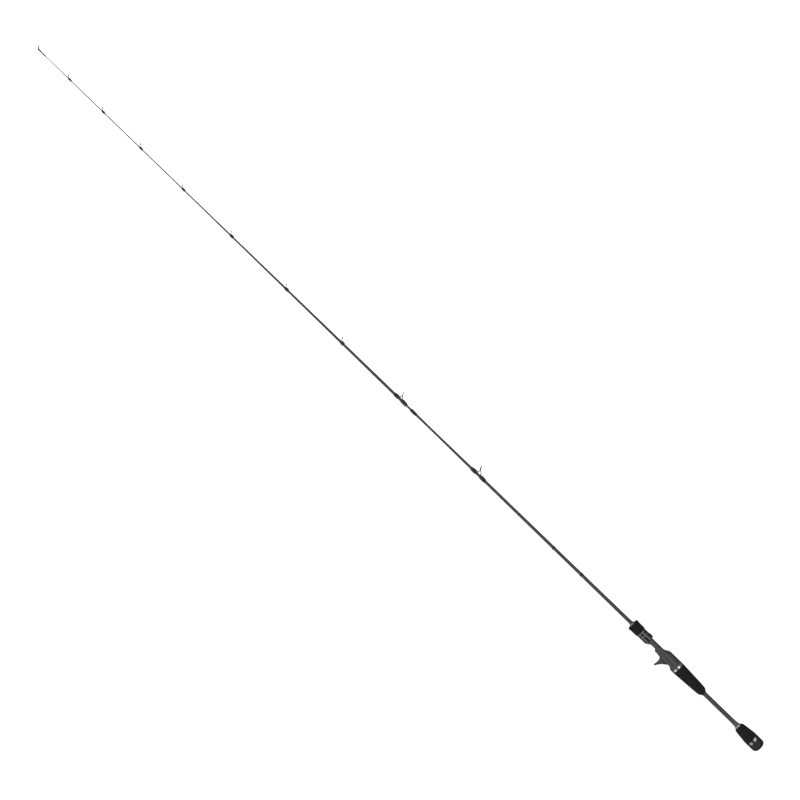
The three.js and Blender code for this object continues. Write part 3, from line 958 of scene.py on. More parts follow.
@dataclass(frozen=True)
class Ink(Finish):
    """Pale pad-printed ink, a little worn."""

    dark: Colour = shade(178, 178, 176)
    light: Colour = shade(238, 238, 236)

    def paint(self, brush: Brush) -> None:
        """Wires rubbed patches and the print's fine grain."""
        place = brush.place()
        rubbed = brush.noise(place, 0.9, 4).rise(0.42, 0.8)
        grain = brush.noise(place, 0.15, 2)
        brush.apply(
            {
                "Base Color": brush.blend(rubbed, self.light, self.dark),
                "Roughness": 0.48 + (grain - 0.5) * 0.2,
                "Normal": brush.relief(grain, 0.01),
            }
        )


CARBON = Laminate("clear_coated_carbon", "carbon_blank")
RAW_CARBON = Laminate(
    "ground_carbon", "raw_carbon", shade(74, 74, 71), shade(108, 108, 103), 0.6, 0.62, 0.0
)
BLACK_THREAD = Thread("black_thread_under_coating", "black_thread")
GOLD_THREAD = Thread(
    "gold_thread_under_coating", "gold_thread", shade(80, 74, 61), shade(134, 126, 106), 0.45
)
FOAM = Foam("sanded_foam", "eva_foam")
CAP_RUBBER = Rubber("moulded_rubber", "cap_rubber")
SEAT_PAINT = SoftPaint("soft_touch_paint", "seat_plastic")
HOOD_GLOSS = GlossMoulding("gloss_black_moulding", "hood_plastic")
STEEL = Metal("turned_steel", "steel_trim", shade(146, 145, 141), shade(184, 183, 178), 0.3)
TRIM_STEEL = Metal("satin_steel", "steel_trim", shade(108, 108, 105), shade(138, 138, 134), 0.52)
LINER_STEEL = Metal("buffed_steel", "steel_trim", grain=Grain.POLISHED)
PALE_GOLD = Metal("pale_gold_anodised", "gold_trim", shade(140, 133, 116), shade(170, 162, 145), 0.42)
GUIDE_METAL = Metal(
    "dark_plated_steel", "guide_metal", shade(26, 26, 28), shade(44, 45, 47), 0.34, Grain.PLATED
)
NUT_METAL = Metal("dark_anodised_sleeve", "nut_metal", shade(58, 58, 60), shade(84, 84, 86), 0.3)
CERAMIC = Ceramic("lapped_ceramic", "guide_ceramic")
BUSHING = Bushing("rigid_foam_bushing", "arbor_foam")
INK = Ink("pale_printed_ink", "cap_rubber")


# ---- Pieces and sub-assemblies --------------------------------------------------------------


class Body(Enum):
    """The bodies of the frame that pieces ride on."""

    BUTT = "butt_section"
    TIP = "tip_section"
    HOOD = "sliding_hood"
    NUT = "lock_nut"


@dataclass
class Piece:
    """One piece, shaped with the guides up, and the CAD nodes that it stands for."""

    name: str
    mesh: bpy.types.Mesh
    finish: Finish
    body: Body
    replaces: tuple[str, ...] = ()

    def put(self) -> bpy.types.Object:
        """Lays the piece down, dresses it and fixes it to its body.

        Returns:
            The finished object.
        """
        self.mesh.transform(LAY_DOWN)
        self.mesh.name = self.name
        self.mesh.materials.clear()
        self.mesh.materials.append(self.finish.material())
        self.mesh.shade_smooth()
        self.mesh.set_sharp_from_angle(angle=SHARP_EDGE)
        made = bpy.data.objects.new(self.name, self.mesh)
        bpy.context.scene.collection.objects.link(made)
        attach(made, self.body.value)
        if self.replaces:
            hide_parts(*self.replaces)
        return made


def stands_for(node: str, mesh: bpy.types.Mesh, finish: Finish, body: Body) -> Piece:
    """Makes the piece that stands for one CAD node."""
    return Piece(f"fine_{node}", mesh, finish, body, (node,))


class SubAssembly:
    """Pieces that are built and dressed together."""

    def pieces(self) -> Iterator[Piece]:
        """Gives each piece in turn."""
        raise NotImplementedError

    def hidden(self) -> dict[str, Finish]:
        """Gives the inner CAD nodes that keep their shape, with their finishes."""
        return {}

    def build(self) -> None:
        """Puts every piece in place and reports it."""
        for piece in self.pieces():
            made = piece.put()
            LOG.info("%s: %d faces, rides on %s", made.name, len(made.data.polygons), piece.body.value)
        for node, finish in self.hidden().items():
            frame["nodes"][node].data.materials.clear()
            frame["nodes"][node].data.materials.append(finish.material())
            LOG.info("%s: kept, dressed with %s", node, finish.name)


def tube_recipe() -> Recipe:
    """Makes the tree for a round bar along a curve, as thick as the curve's own radius."""
    recipe = Recipe("bar_along_path", {"Sides": "NodeSocketInt"})
    section = recipe.node(
        "GeometryNodeCurvePrimitiveCircle",
        inputs={"Resolution": recipe.given("Sides"), "Radius": 1.0},
    )
    inputs = {
        "Curve": recipe.given("Geometry"),
        "Profile Curve": section,
        "Scale": recipe.node("GeometryNodeInputRadius"),
        "Fill Caps": True,
    }
    recipe.close(recipe.node("GeometryNodeCurveToMesh", inputs=inputs))
    return recipe


def winding_recipe() -> Recipe:
    """Makes the tree that winds thread on a core and lifts both over a foot."""
    sizes = {
        "Rear": "NodeSocketFloat",
        "Length": "NodeSocketFloat",
        "Turns": "NodeSocketFloat",
        "Segments": "NodeSocketInt",
        "End Radius": "NodeSocketFloat",
        "Crest": "NodeSocketFloat",
        "Slope": "NodeSocketFloat",
        "Thread Radius": "NodeSocketFloat",
        "Bore": "NodeSocketFloat",
        "Lift": "NodeSocketFloat",
        "Toe": "NodeSocketFloat",
        "Leg": "NodeSocketFloat",
        "Cut Above": "NodeSocketFloat",
    }
    recipe = Recipe("thread_on_core", sizes)
    given = recipe.given
    spiral = recipe.node(
        "GeometryNodeCurveSpiral",
        inputs={
            "Resolution": given("Segments"),
            "Rotations": given("Turns"),
            "Start Radius": given("Crest"),
            "End Radius": given("Crest"),
            "Height": given("Length"),
        },
    )
    placed = recipe.node(
        "GeometryNodeTransform",
        inputs={
            "Geometry": spiral,
            "Translation": recipe.vector(given("Rear"), 0.0, 0.0),
            "Rotation": (0.0, math.pi / 2, 0.0),
        },
    )
    here = recipe.node("GeometryNodeInputPosition")
    along, side, up = recipe.split(here)
    radius = (side * side + up * up).root()
    inwards = (along - given("Rear")).lowest(given("Rear") + given("Length") - along)
    swell = inwards.rise(0.0, given("Slope"))
    wanted = given("End Radius") + (given("Crest") - given("End Radius")) * swell
    scale = wanted / radius
    followed = recipe.node(
        "GeometryNodeSetPosition",
        inputs={"Geometry": placed, "Position": recipe.vector(along, side * scale, up * scale)},
    )
    kept = recipe.node(
        "GeometryNodeDeleteGeometry",
        inputs={"Geometry": followed, "Selection": up.over(given("Cut Above"))},
    )
    section = recipe.node(
        "GeometryNodeCurvePrimitiveCircle",
        inputs={"Resolution": 6, "Radius": given("Thread Radius")},
    )
    inputs = {"Curve": kept, "Profile Curve": section, "Fill Caps": True}
    thread = recipe.node("GeometryNodeCurveToMesh", inputs=inputs)
    both = recipe.node(
        "GeometryNodeJoinGeometry", inputs={"Geometry": [given("Geometry"), thread]}
    )
    upward = (up / radius).highest(0.0) ** 3
    outer = ((radius - given("Bore")) / (given("Crest") - given("Bore"))).clamped()
    over_foot = along.rise(given("Toe"), given("Leg"))
    lift = given("Lift") * upward * outer * over_foot
    lifted = recipe.node(
        "GeometryNodeSetPosition",
        inputs={"Geometry": both, "Offset": recipe.vector(0.0, 0.0, lift)},
    )
    recipe.close(lifted)
    return recipe


TUBE = tube_recipe()
WINDING = winding_recipe()


def bar(stations: Sequence[tuple[float, ...]], sides: int, steps: int = 6) -> bpy.types.Mesh:
    """Makes a round bar through stations.

    Args:
        stations: Points (along, side, up, radius).
        sides: The bar's sides.
        steps: The pieces between two stations.

    Returns:
        The closed mesh.
    """
    line = flowing(stations, steps)
    curve = bpy.data.curves.new("bar", "CURVE")
    curve.dimensions = "3D"
    spline = curve.splines.new("POLY")
    spline.points.add(len(line) - 1)
    for point, (along, side, up, radius) in zip(spline.points, line):
        point.co = (along, side, up, 1.0)
        point.radius = radius
    return TUBE.make(curve, {"Sides": sides, "Finish": GUIDE_METAL.material()})


@dataclass
class Winding:
    """Thread wound round the blank, or over a guide's foot, and coated."""

    node: str
    body: Body
    blank: Outline
    finish: Finish = BLACK_THREAD
    thread: float = 0.15 * MM
    pitch: float = 0.3 * MM
    clearance: float = 0.04 * MM
    end_build: float = 0.25 * MM
    longest_slope: float = 2.4 * MM
    stations: int = 28
    foot_lift: float = 0.0
    leg_ahead: bool = True

    def mesh(self) -> bpy.types.Mesh:
        """Winds the thread.

        Returns:
            The core and the thread on it, as one mesh.
        """
        room = Extent.of(self.node)
        blank = max(radius_at(self.blank, room.rear), radius_at(self.blank, room.front))
        bore = blank + self.clearance
        crest = room.side - self.thread
        end = bore + self.end_build
        slope = min(self.longest_slope, room.length / 3)
        core = []
        for k in range(self.stations + 1):
            along = room.rear + room.length * k / self.stations
            share = min(1.0, min(along - room.rear, room.front - along) / slope)
            swell = share * share * (3 - 2 * share)
            core.append((along, end + (crest - end) * swell))
        turns = (room.length - 2 * self.thread) / self.pitch
        toe, leg = room.rear - 1 * MM, room.rear + 0.55 * room.length
        if not self.leg_ahead:
            toe, leg = room.front + 1 * MM, room.rear + 0.45 * room.length
        values = {
            "Rear": room.rear + self.thread,
            "Length": room.length - 2 * self.thread,
            "Turns": turns,
            "Segments": THREAD_SEGMENTS,
            "End Radius": end,
            "Crest": crest,
            "Slope": slope,
            "Thread Radius": self.thread,
            "Bore": bore,
            "Lift": self.foot_lift,
            "Toe": toe,
            "Leg": leg,
            "Cut Above": 1.0,
            "Finish": self.finish.material(),
        }
        return WINDING.make(sleeve(core, bore, WINDING_SIDES), values)

    def piece(self) -> Piece:
        """Gives the winding as a piece."""
        return stands_for(self.node, self.mesh(), self.finish, self.body)


@dataclass
class Blank(SubAssembly):
    """The rod's two tapered tubes, the spigot between them and the windings on them."""

    fillet: float = 0.25 * MM
    bore_wall: float = 0.55 * MM
    socket_clearance: float = 0.12 * MM
    socket_room: float = 2 * MM
    butt: Outline = field(default_factory=lambda: turned_outline("butt_blank"))
    tip: Outline = field(default_factory=lambda: turned_outline("tip_blank"))

    def _tube(self, outline: Outline) -> bpy.types.Mesh:
        """Makes a tapered bar with this outside."""
        stations = [(along, 0.0, 0.0, radius) for along, radius in outline]
        return bar(stations, BLANK_SIDES, 4)

    def _spigot(self) -> bpy.types.Mesh:
        """Turns the spigot, with a rounded nose."""
        outline = turned_outline("ferrule_spigot")
        body = [(outline[0][0], 0.0), *outline, (outline[-1][0], 0.0)]
        return lathe(rounded(body, self.fillet), BLANK_SIDES)

    def pieces(self) -> Iterator[Piece]:
        """Gives the tubes, the spigot and the plain windings."""
        spigot = Extent.of("ferrule_spigot")
        butt_end, mouth = self.butt[-1], self.tip[0]
        glued = plug(spigot.rear, butt_end[0] + OVERCUT, spigot.side)
        hollow = [
            (self.butt[0][0] - OVERCUT, 0.0),
            (self.butt[0][0] - OVERCUT, self.butt[0][1] - 2 * self.bore_wall),
            (spigot.rear, spigot.side),
            (spigot.rear, 0.0),
        ]
        butt = carved(self._tube(self.butt), [glued, lathe(hollow, BLANK_SIDES)])
        yield stands_for("butt_blank", butt, CARBON, Body.BUTT)
        socket = spigot.side + self.socket_clearance
        room = plug(mouth[0] - OVERCUT, spigot.front + self.socket_room, socket)
        tip = carved(self._tube(self.tip), [room])
        yield stands_for("tip_blank", tip, CARBON, Body.TIP)
        yield stands_for("ferrule_spigot", self._spigot(), RAW_CARBON, Body.BUTT)
        for node in ("label_winding_rear", "label_winding_front", "ferrule_winding"):
            yield Winding(node, Body.BUTT, self.butt).piece()
        yield Winding("butt_winding", Body.BUTT, self.butt, GOLD_THREAD).piece()
        yield Winding("tip_top_winding", Body.TIP, self.tip).piece()


def check_ring(node: str, crown: float) -> bpy.types.Mesh:
    """Turns a small ring that closes a grip against the blank.

    Args:
        node: The CAD node that it stands for.
        crown: How far its edges are rounded.

    Returns:
        The mesh.
    """
    outline = turned_outline(node)
    bore = bore_of(node)
    (rear, rear_radius), (front, front_radius) = outline[0], outline[-1]
    loop = [(rear, bore), (rear, rear_radius), *outline[1:-1], (front, front_radius), (front, bore)]
    soft = rounded(loop, crown, 6)
    return lathe([*soft, soft[0]], GRIP_SIDES)


@dataclass
class ButtHandle(SubAssembly):
    """The rubber cap, the foam butt grip and the gold ring in front of it."""

    cap_face: float = 6.0 * MM
    cap_fillet: float = 0.6 * MM
    ink_room: float = 0.06 * MM
    grip_fillet: float = 0.7 * MM
    bar_rears: tuple[float, ...] = (5.6 * MM, 3.7 * MM, 1.8 * MM)
    bar_slant: float = 0.2 * MM
    bar_step: float = 0.9 * MM
    bar_width: float = 1.4 * MM
    ring_mark: tuple[float, float] = (1.3 * MM, 2.7 * MM)
    ring_mark_back: float = 3.0 * MM
    mark_up: float = 4.6 * MM
    mark_down: float = -7.2 * MM

    def _cap(self) -> bpy.types.Mesh:
        """Turns the domed cap, with the pocket that takes the grip's tube."""
        room = Extent.of("butt_cap")
        radius = room.side - self.ink_room
        bore = bore_of("butt_grip")
        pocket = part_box("butt_plug")[0].x
        corner = radius - self.cap_face
        dome = []
        for k in range(17):
            turn = math.pi / 2 * k / 16
            dome.append((corner * (1 - math.cos(turn)), self.cap_face + corner * math.sin(turn)))
        rim = rounded([dome[-1], (room.front, radius), (room.front, bore)], self.cap_fillet)
        return lathe([(0.0, 0.0), *dome, *rim[1:], (pocket, bore), (pocket, 0.0)], GRIP_SIDES)

    def _grip(self) -> bpy.types.Mesh:
        """Turns the tapered foam grip."""
        widest = Extent.of("butt_grip").side
        outline = [(x, min(r, widest)) for x, r in flowing(turned_outline("butt_grip"), 5)]
        bore = bore_of("butt_grip")
        (rear, _), (front, _) = outline[0], outline[-1]
        loop = rounded([(rear, bore), *outline, (front, bore)], self.grip_fillet, 4)
        return lathe([*loop, loop[0]], GRIP_SIDES)

    def _inlay(self, left: Outline, right: Outline, closed: bool) -> bpy.types.Mesh:
        """Makes a thin printed strip that follows the cap's side.

        Args:
            left: One edge of the strip, as points (along, distance round the cap).
            right: The other edge, point for point.
            closed: Whether the strip's ends meet.

        Returns:
            The closed mesh.
        """
        radius = Extent.of("butt_cap").side - self.ink_room
        sections = []
        for edges in zip(left, right):
            loop = []
            for depth, order in ((-0.05 * MM, edges), (0.035 * MM, edges[::-1])):
                for along, arc in order:
                    turn, reach = arc / radius, radius + depth
                    loop.append(Vector((along, reach * math.cos(turn), reach * math.sin(turn))))
            sections.append(loop)
        return lofted(sections, "inlay", closed)

    def _bars(self) -> bpy.types.Mesh:
        """Draws three short slanted bars, a plain mark of no maker."""
        strips = []
        for rear in self.bar_rears:
            start = Extent.of("butt_cap").front - rear
            slant = []
            for step in range(-4, 5):
                along = start + self.bar_slant * (step + 4)
                slant.append((along, self.mark_up + self.bar_step * step))
            other = [(along + self.bar_width, arc) for along, arc in slant]
            strips.append(self._inlay(slant, other, False))
        return joined(strips)

    def _ring_mark(self) -> bpy.types.Mesh:
        """Draws one small open ring beside the bars."""
        front = Extent.of("butt_cap").front
        middle, count = front - self.ring_mark_back, 36
        edges = []
        for radius in self.ring_mark:
            turns = [2 * math.pi * k / count for k in range(count)]
            edges.append(
                [(middle + radius * math.cos(a), self.mark_down + radius * math.sin(a)) for a in turns]
            )
        return self._inlay(*edges, True)

    def pieces(self) -> Iterator[Piece]:
        """Gives the cap, its marks, the grip and its ring."""
        yield stands_for("butt_cap", self._cap(), CAP_RUBBER, Body.BUTT)
        yield Piece("cap_mark_bars", self._bars(), INK, Body.BUTT)
        yield Piece("cap_mark_ring", self._ring_mark(), INK, Body.BUTT)
        yield stands_for("butt_grip", self._grip(), FOAM, Body.BUTT)
        yield stands_for("butt_check", check_ring("butt_check", 0.7 * MM), PALE_GOLD, Body.BUTT)

    def hidden(self) -> dict[str, Finish]:
        """Gives the weight plug inside the cap."""
        return {"butt_plug": CAP_RUBBER}


@dataclass
class RearHandle(SubAssembly):
    """The foam grip behind the reel seat, with the ring at each end of it."""

    grip_fillet: float = 0.8 * MM
    counterbore: float = 9.3 * MM

    def _grip(self) -> bpy.types.Mesh:
        """Turns the flared grip, with the counterbore that the seat's neck goes into."""
        outline = flowing(turned_outline("rear_grip"), 5)
        bore = bore_of("rear_grip")
        step, neck = Extent.of("seat_body").rear - GLUE_GAP, self.counterbore
        (rear, _), (front, _) = outline[0], outline[-1]
        inside = [(front, neck), (step, neck), (step, bore)]
        loop = rounded([(rear, bore), *outline, *inside], self.grip_fillet, 4)
        return lathe([*loop, loop[0]], GRIP_SIDES)

    def pieces(self) -> Iterator[Piece]:
        """Gives the grip and its two rings."""
        yield stands_for("rear_grip", self._grip(), FOAM, Body.BUTT)
        ring = check_ring("rear_grip_check", 0.6 * MM)
        yield stands_for("rear_grip_check", ring, HOOD_GLOSS, Body.BUTT)
        steel = check_ring("seat_end_ring", 0.8 * MM)
        yield stands_for("seat_end_ring", steel, STEEL, Body.BUTT)


# The trigger's rear and front edges, in millimetres in front of the seat's shoulder, and how far
# they are above the rod's axis.
TRIGGER_EDGES = (
    (11.4, 40.5, -6.5),
    (12.7, 38.2, -8.0),
    (15.0, 35.3, -10.4),
    (18.5, 34.0, -13.0),
    (22.9, 33.4, -16.3),
    (27.3, 33.7, -21.5),
    (30.4, 34.5, -26.5),
)


@dataclass
class ReelSeat(SubAssembly):
    """The moulded seat: a palm swell with a trigger, the reel's deck and the threaded barrel."""

    palm_length: float = 27.7 * MM
    nose_length: float = 16.0 * MM
    barrel: float = 8.2 * MM
    neck: float = 9.0 * MM
    trigger_width: float = 4.1 * MM
    finger_floor: float = -9.0 * MM
    arch_top: float = -3.6 * MM
    thread_pitch: float = 1.5 * MM
    thread_depth: float = 0.25 * MM
    thread_radius: float = 0.42 * MM
    palm_edge: float = 0.5 * MM
    pocket_room: float = 0.7 * MM
    pocket_front: float = 46.0 * MM
    scoop_rear: float = 2.7 * MM
    scoop_front: float = 46.7 * MM
    deck_front: float = 45.5 * MM
    arch_rear: float = 49.9 * MM
    arch_length: float = 22.2 * MM
    arbor_room: float = 1.5 * MM
    blank_fit: float = 0.2 * MM
    cutter_half_width: float = 20 * MM
    rough_voxel: float = 0.5 * MM
    fine_voxel: float = 0.45 * MM

    def __post_init__(self) -> None:
        """Takes the seat's places from the frame."""
        self.room = Extent.of("seat_body")
        self.shoulder = Extent.of("seat_end_ring").front + GLUE_GAP
        self.palm = Extent.of("seat_end_ring").side - 0.1 * MM
        record = frame["record"]
        deck = next(mount for mount in record["mounts"] if mount["name"] == "reel_deck")
        self.deck = -deck["pos_m"][1]
        openings = record["physics"]["openings"]
        pocket = next(box for box in openings if box["name"] == "fixed_hood_pocket")["box_m"]
        self.pocket_rear = pocket[0][0] - 0.6 * MM
        self.pocket_top = -pocket[0][1] + self.pocket_room
        self.pocket_half = pocket[1][2] + self.pocket_room

    def _turned(self) -> bpy.types.Mesh:
        """Turns the palm swell, its nose and the barrel."""
        end = self.shoulder + self.palm_length
        drop = self.palm - self.barrel
        nose = [
            (end + self.nose_length * share, self.palm - drop * fall)
            for share, fall in ((0.24, 0.07), (0.45, 0.33), (0.7, 0.67), (0.88, 0.92), (1.0, 1.0))
        ]
        step = [(self.shoulder, self.neck), (self.shoulder, self.palm), (end, self.palm)]
        outside = [
            (self.room.rear, 0.0),
            (self.room.rear, self.neck),
            (self.shoulder, self.neck),
            *rounded(step, self.palm_edge)[1:],
            *flowing([(end, self.palm), *nose], 5)[1:],
            (self.room.front, self.barrel),
            (self.room.front, 0.0),
        ]
        return lathe(outside, GRIP_SIDES)

    def _scoop(self) -> bpy.types.Mesh:
        """Shapes what is taken away under the palm, where the finger goes round the trigger."""
        rear, deep = self.shoulder + self.scoop_rear, 25 * MM
        front = self.shoulder + self.scoop_front
        edge = bowed(
            (rear + 0.3 * MM, -self.palm - 0.25 * MM),
            (rear + 3.4 * MM, self.finger_floor),
            (rear + 10 * MM, self.finger_floor),
        )
        outline = [(rear, -deep), *edge, (front, self.finger_floor), (front, -deep)]
        return side_plate(outline, self.cutter_half_width)

    def _trigger(self) -> bpy.types.Mesh:
        """Shapes the trigger from flat sections, from its root to its round tip."""
        start = self.shoulder
        tip = self.room.low + 0.15 * MM
        root, end = TRIGGER_EDGES[0][2], TRIGGER_EDGES[-1][2]
        rows = []
        for rear, front, up in TRIGGER_EDGES:
            taper = (up - root) / (end - root)
            rows.append((rear * MM, front * MM, self.trigger_width * (1 - 0.3 * taper), up * MM))
        sections = []
        for rear, front, half, up in flowing(rows, 5):
            centre = Vector((start + (rear + front) / 2, 0, up))
            sections.append(oval(centre, Vector((0, half, 0)), Vector(((front - rear) / 2, 0, 0)), 2.7))
        rear, front, half, up = rows[-1]
        for k in range(1, 7):
            turn = math.pi / 2 * k / 6.2
            shrink, drop = math.cos(turn), math.sin(turn)
            centre = Vector((start + (rear + front) / 2 + 0.5 * MM * drop, 0, up + (tip - up) * drop))
            reach = Vector(((front - rear) / 2 * shrink, 0, 0))
            sections.append(oval(centre, Vector((0, half * shrink, 0)), reach, 2.3))
        return lofted(sections)

    def _pocket(self) -> bpy.types.Mesh:
        """Shapes the tunnel that takes the rear end of the reel's foot."""
        half, low, top = self.pocket_half, self.deck, self.pocket_top
        middle = Vector((0, 0, (low + top) / 2))
        across, height = Vector((0, half, 0)), Vector((0, 0, (top - low) / 2))
        loops = []
        for along in (self.pocket_rear, self.shoulder + self.pocket_front):
            loops.append(oval(middle + Vector((along, 0, 0)), across, height, 5.0, 40))
        return lofted(loops)

    def _flat(self) -> bpy.types.Mesh:
        """Shapes what is taken off the top to leave the flat deck."""
        rear, front = self.shoulder + self.deck_front, self.room.front + OVERCUT
        over = 12 * MM
        outline = [(rear, self.deck), (front, self.deck), (front, over), (rear - over / 2, over)]
        return side_plate(outline, self.cutter_half_width)

    def _arch(self) -> bpy.types.Mesh:
        """Shapes the opening under the seat that bares the blank for a finger."""
        rear = self.shoulder + self.arch_rear
        front = rear + self.arch_length
        foot, deep = -10 * MM, -14 * MM
        top = self.arch_top
        edge = [
            *bowed((rear, foot), (rear + 1.2 * MM, top), (rear + 5.5 * MM, top)),
            *bowed((rear + 14.4 * MM, top), (rear + 17.4 * MM, top), (front, foot)),
        ]
        return side_plate([(rear - OVERCUT, deep), *edge, (front, deep)], self.cutter_half_width)

    def _body(self) -> bpy.types.Mesh:
        """Moulds the seat: the palm and the trigger grow together, then the openings are cut."""
        palm = carved(self._turned(), [self._scoop()])
        grown = melted([palm, self._trigger()], self.rough_voxel, 7)
        rear_arbor = Extent.of("seat_arbor_rear")
        front_arbor = Extent.of("seat_arbor_front")
        blank = radius_at(turned_outline("butt_blank"), rear_arbor.rear) + self.blank_fit
        rear_bore, front_bore = rear_arbor.side + GLUE_GAP, front_arbor.side + GLUE_GAP
        tools = [
            self._pocket(),
            self._flat(),
            self._arch(),
            plug(self.room.rear - OVERCUT, rear_arbor.front + self.arbor_room, rear_bore),
            plug(self.room.rear, self.room.front, blank),
            plug(front_arbor.rear - self.arbor_room, self.room.front + OVERCUT, front_bore),
        ]
        return melted([carved(grown, tools)], self.fine_voxel, 3)

    def _screw_thread(self) -> bpy.types.Mesh:
        """Winds the barrel's screw thread with the winding tree, without a core."""
        hood, nut = Extent.of("hood_sleeve"), Extent.of("nut_grip")
        rear, front = hood.rear + 16 * MM, nut.front - 1.2 * MM
        crest = self.barrel - self.thread_depth * 0.3
        values = {
            "Rear": rear,
            "Length": front - rear,
            "Turns": (front - rear) / self.thread_pitch,
            "Segments": 64,
            "End Radius": crest - self.thread_depth,
            "Crest": crest,
            "Slope": self.thread_pitch,
            "Thread Radius": self.thread_radius,
            "Bore": 0.0,
            "Lift": 0.0,
            "Toe": rear,
            "Leg": front,
            "Cut Above": self.deck - 0.5 * MM,
            "Finish": SEAT_PAINT.material(),
        }
        return WINDING.make(bpy.data.meshes.new("no_core"), values)

    def pieces(self) -> Iterator[Piece]:
        """Gives the seat, its screw thread and the ring in front of the nut."""
        yield stands_for("seat_body", self._body(), SEAT_PAINT, Body.BUTT)
        yield Piece("seat_screw_thread", self._screw_thread(), SEAT_PAINT, Body.BUTT)
        yield stands_for("front_check", check_ring("front_check", 0.6 * MM), PALE_GOLD, Body.BUTT)

    def hidden(self) -> dict[str, Finish]:
        """Gives the bushings between the blank and the seat, and the pocket's liner."""
        return {
            "seat_arbor_rear": BUSHING,
            "seat_arbor_front": BUSHING,
            "fixed_hood_liner": LINER_STEEL,
        }


@dataclass
class SlidingHood(SubAssembly):
    """The hood that the nut pushes over the front of the reel's foot."""

    radius: float = 10.3 * MM
    lip_length: float = 11.0 * MM
    lip_radius: float = 10.7 * MM
    lip_lift: float = 0.6 * MM
    bore: float = 8.65 * MM
    pocket_length: float = 9.5 * MM
    pocket_radius: float = 8.6 * MM
    pocket_lift: float = 1.8 * MM
    voxel: float = 0.28 * MM

    def _sleeve(self) -> bpy.types.Mesh:
        """Moulds the hood: a turned sleeve with two seats for its trims and a raised lip."""
        room = Extent.of("hood_sleeve")
        rear_trim, front_trim = Extent.of("hood_trim_rear"), Extent.of("hood_trim_front")
        radius, gap = self.radius, GLUE_GAP
        groove = bore_of("hood_trim_rear") - gap
        tube = [
            (room.rear, 0.0),
            (room.rear, radius),
            (rear_trim.rear - gap, radius),
            (rear_trim.rear - gap, groove),
            (rear_trim.front + gap, groove),
            (rear_trim.front + gap, radius),
            (front_trim.rear - gap, radius),
            (front_trim.rear - gap, groove),
            (room.front, groove),
            (room.front, 0.0),
        ]
        sleeve_part = lathe(rounded(tube, 0.25 * MM, 3), GRIP_SIDES)
        lip_front = room.rear + self.lip_length
        lip = [
            (room.rear, 0.0),
            (room.rear, self.lip_radius),
            (lip_front - 3.2 * MM, self.lip_radius),
            (lip_front, self.lip_radius - 1.0 * MM),
            (lip_front, 0.0),
        ]
        lip_part = lathe(rounded(lip, 0.7 * MM, 5), GRIP_SIDES)
        lip_part.transform(Matrix.Translation((0, 0, self.lip_lift)))
        grown = melted([sleeve_part, lip_part], self.voxel, 2)
        through = plug(room.rear - OVERCUT, room.front + OVERCUT, self.bore)
        pocket_front = room.rear + self.pocket_length
        pocket = plug(room.rear - OVERCUT, pocket_front, self.pocket_radius, self.pocket_lift)
        return carved(grown, [through, pocket])

    def pieces(self) -> Iterator[Piece]:
        """Gives the sleeve and its two bright trims."""
        yield stands_for("hood_sleeve", self._sleeve(), HOOD_GLOSS, Body.HOOD)
        for node in ("hood_trim_rear", "hood_trim_front"):
            yield stands_for(node, check_ring(node, 0.4 * MM), TRIM_STEEL, Body.HOOD)

    def hidden(self) -> dict[str, Finish]:
        """Gives the liner that the reel's foot slides on."""
        return {"hood_liner": LINER_STEEL}


@dataclass
class LockNut(SubAssembly):
    """The nut: a threaded sleeve with a foam grip glued round it."""

    fillet: float = 0.7 * MM

    def pieces(self) -> Iterator[Piece]:
        """Gives the sleeve and the grip."""
        yield stands_for("nut_core", check_ring("nut_core", 0.3 * MM), NUT_METAL, Body.NUT)
        outline = turned_outline("nut_grip")
        bore = bore_of("nut_grip")
        (rear, _), (front, _) = outline[0], outline[-1]
        loop = rounded([(rear, bore), *outline, (front, bore)], self.fillet, 6)
        yield stands_for("nut_grip", lathe([*loop, loop[0]], GRIP_SIDES), FOAM, Body.NUT)


# ---- Line guides ----------------------------------------------------------------------------


class Feet(Enum):
    """How a guide stands on the blank."""

    DOUBLE = "a foot behind the ring and one in front of it"
    SINGLE = "one foot behind the ring"
    TIP = "a tube over the end of the blank"


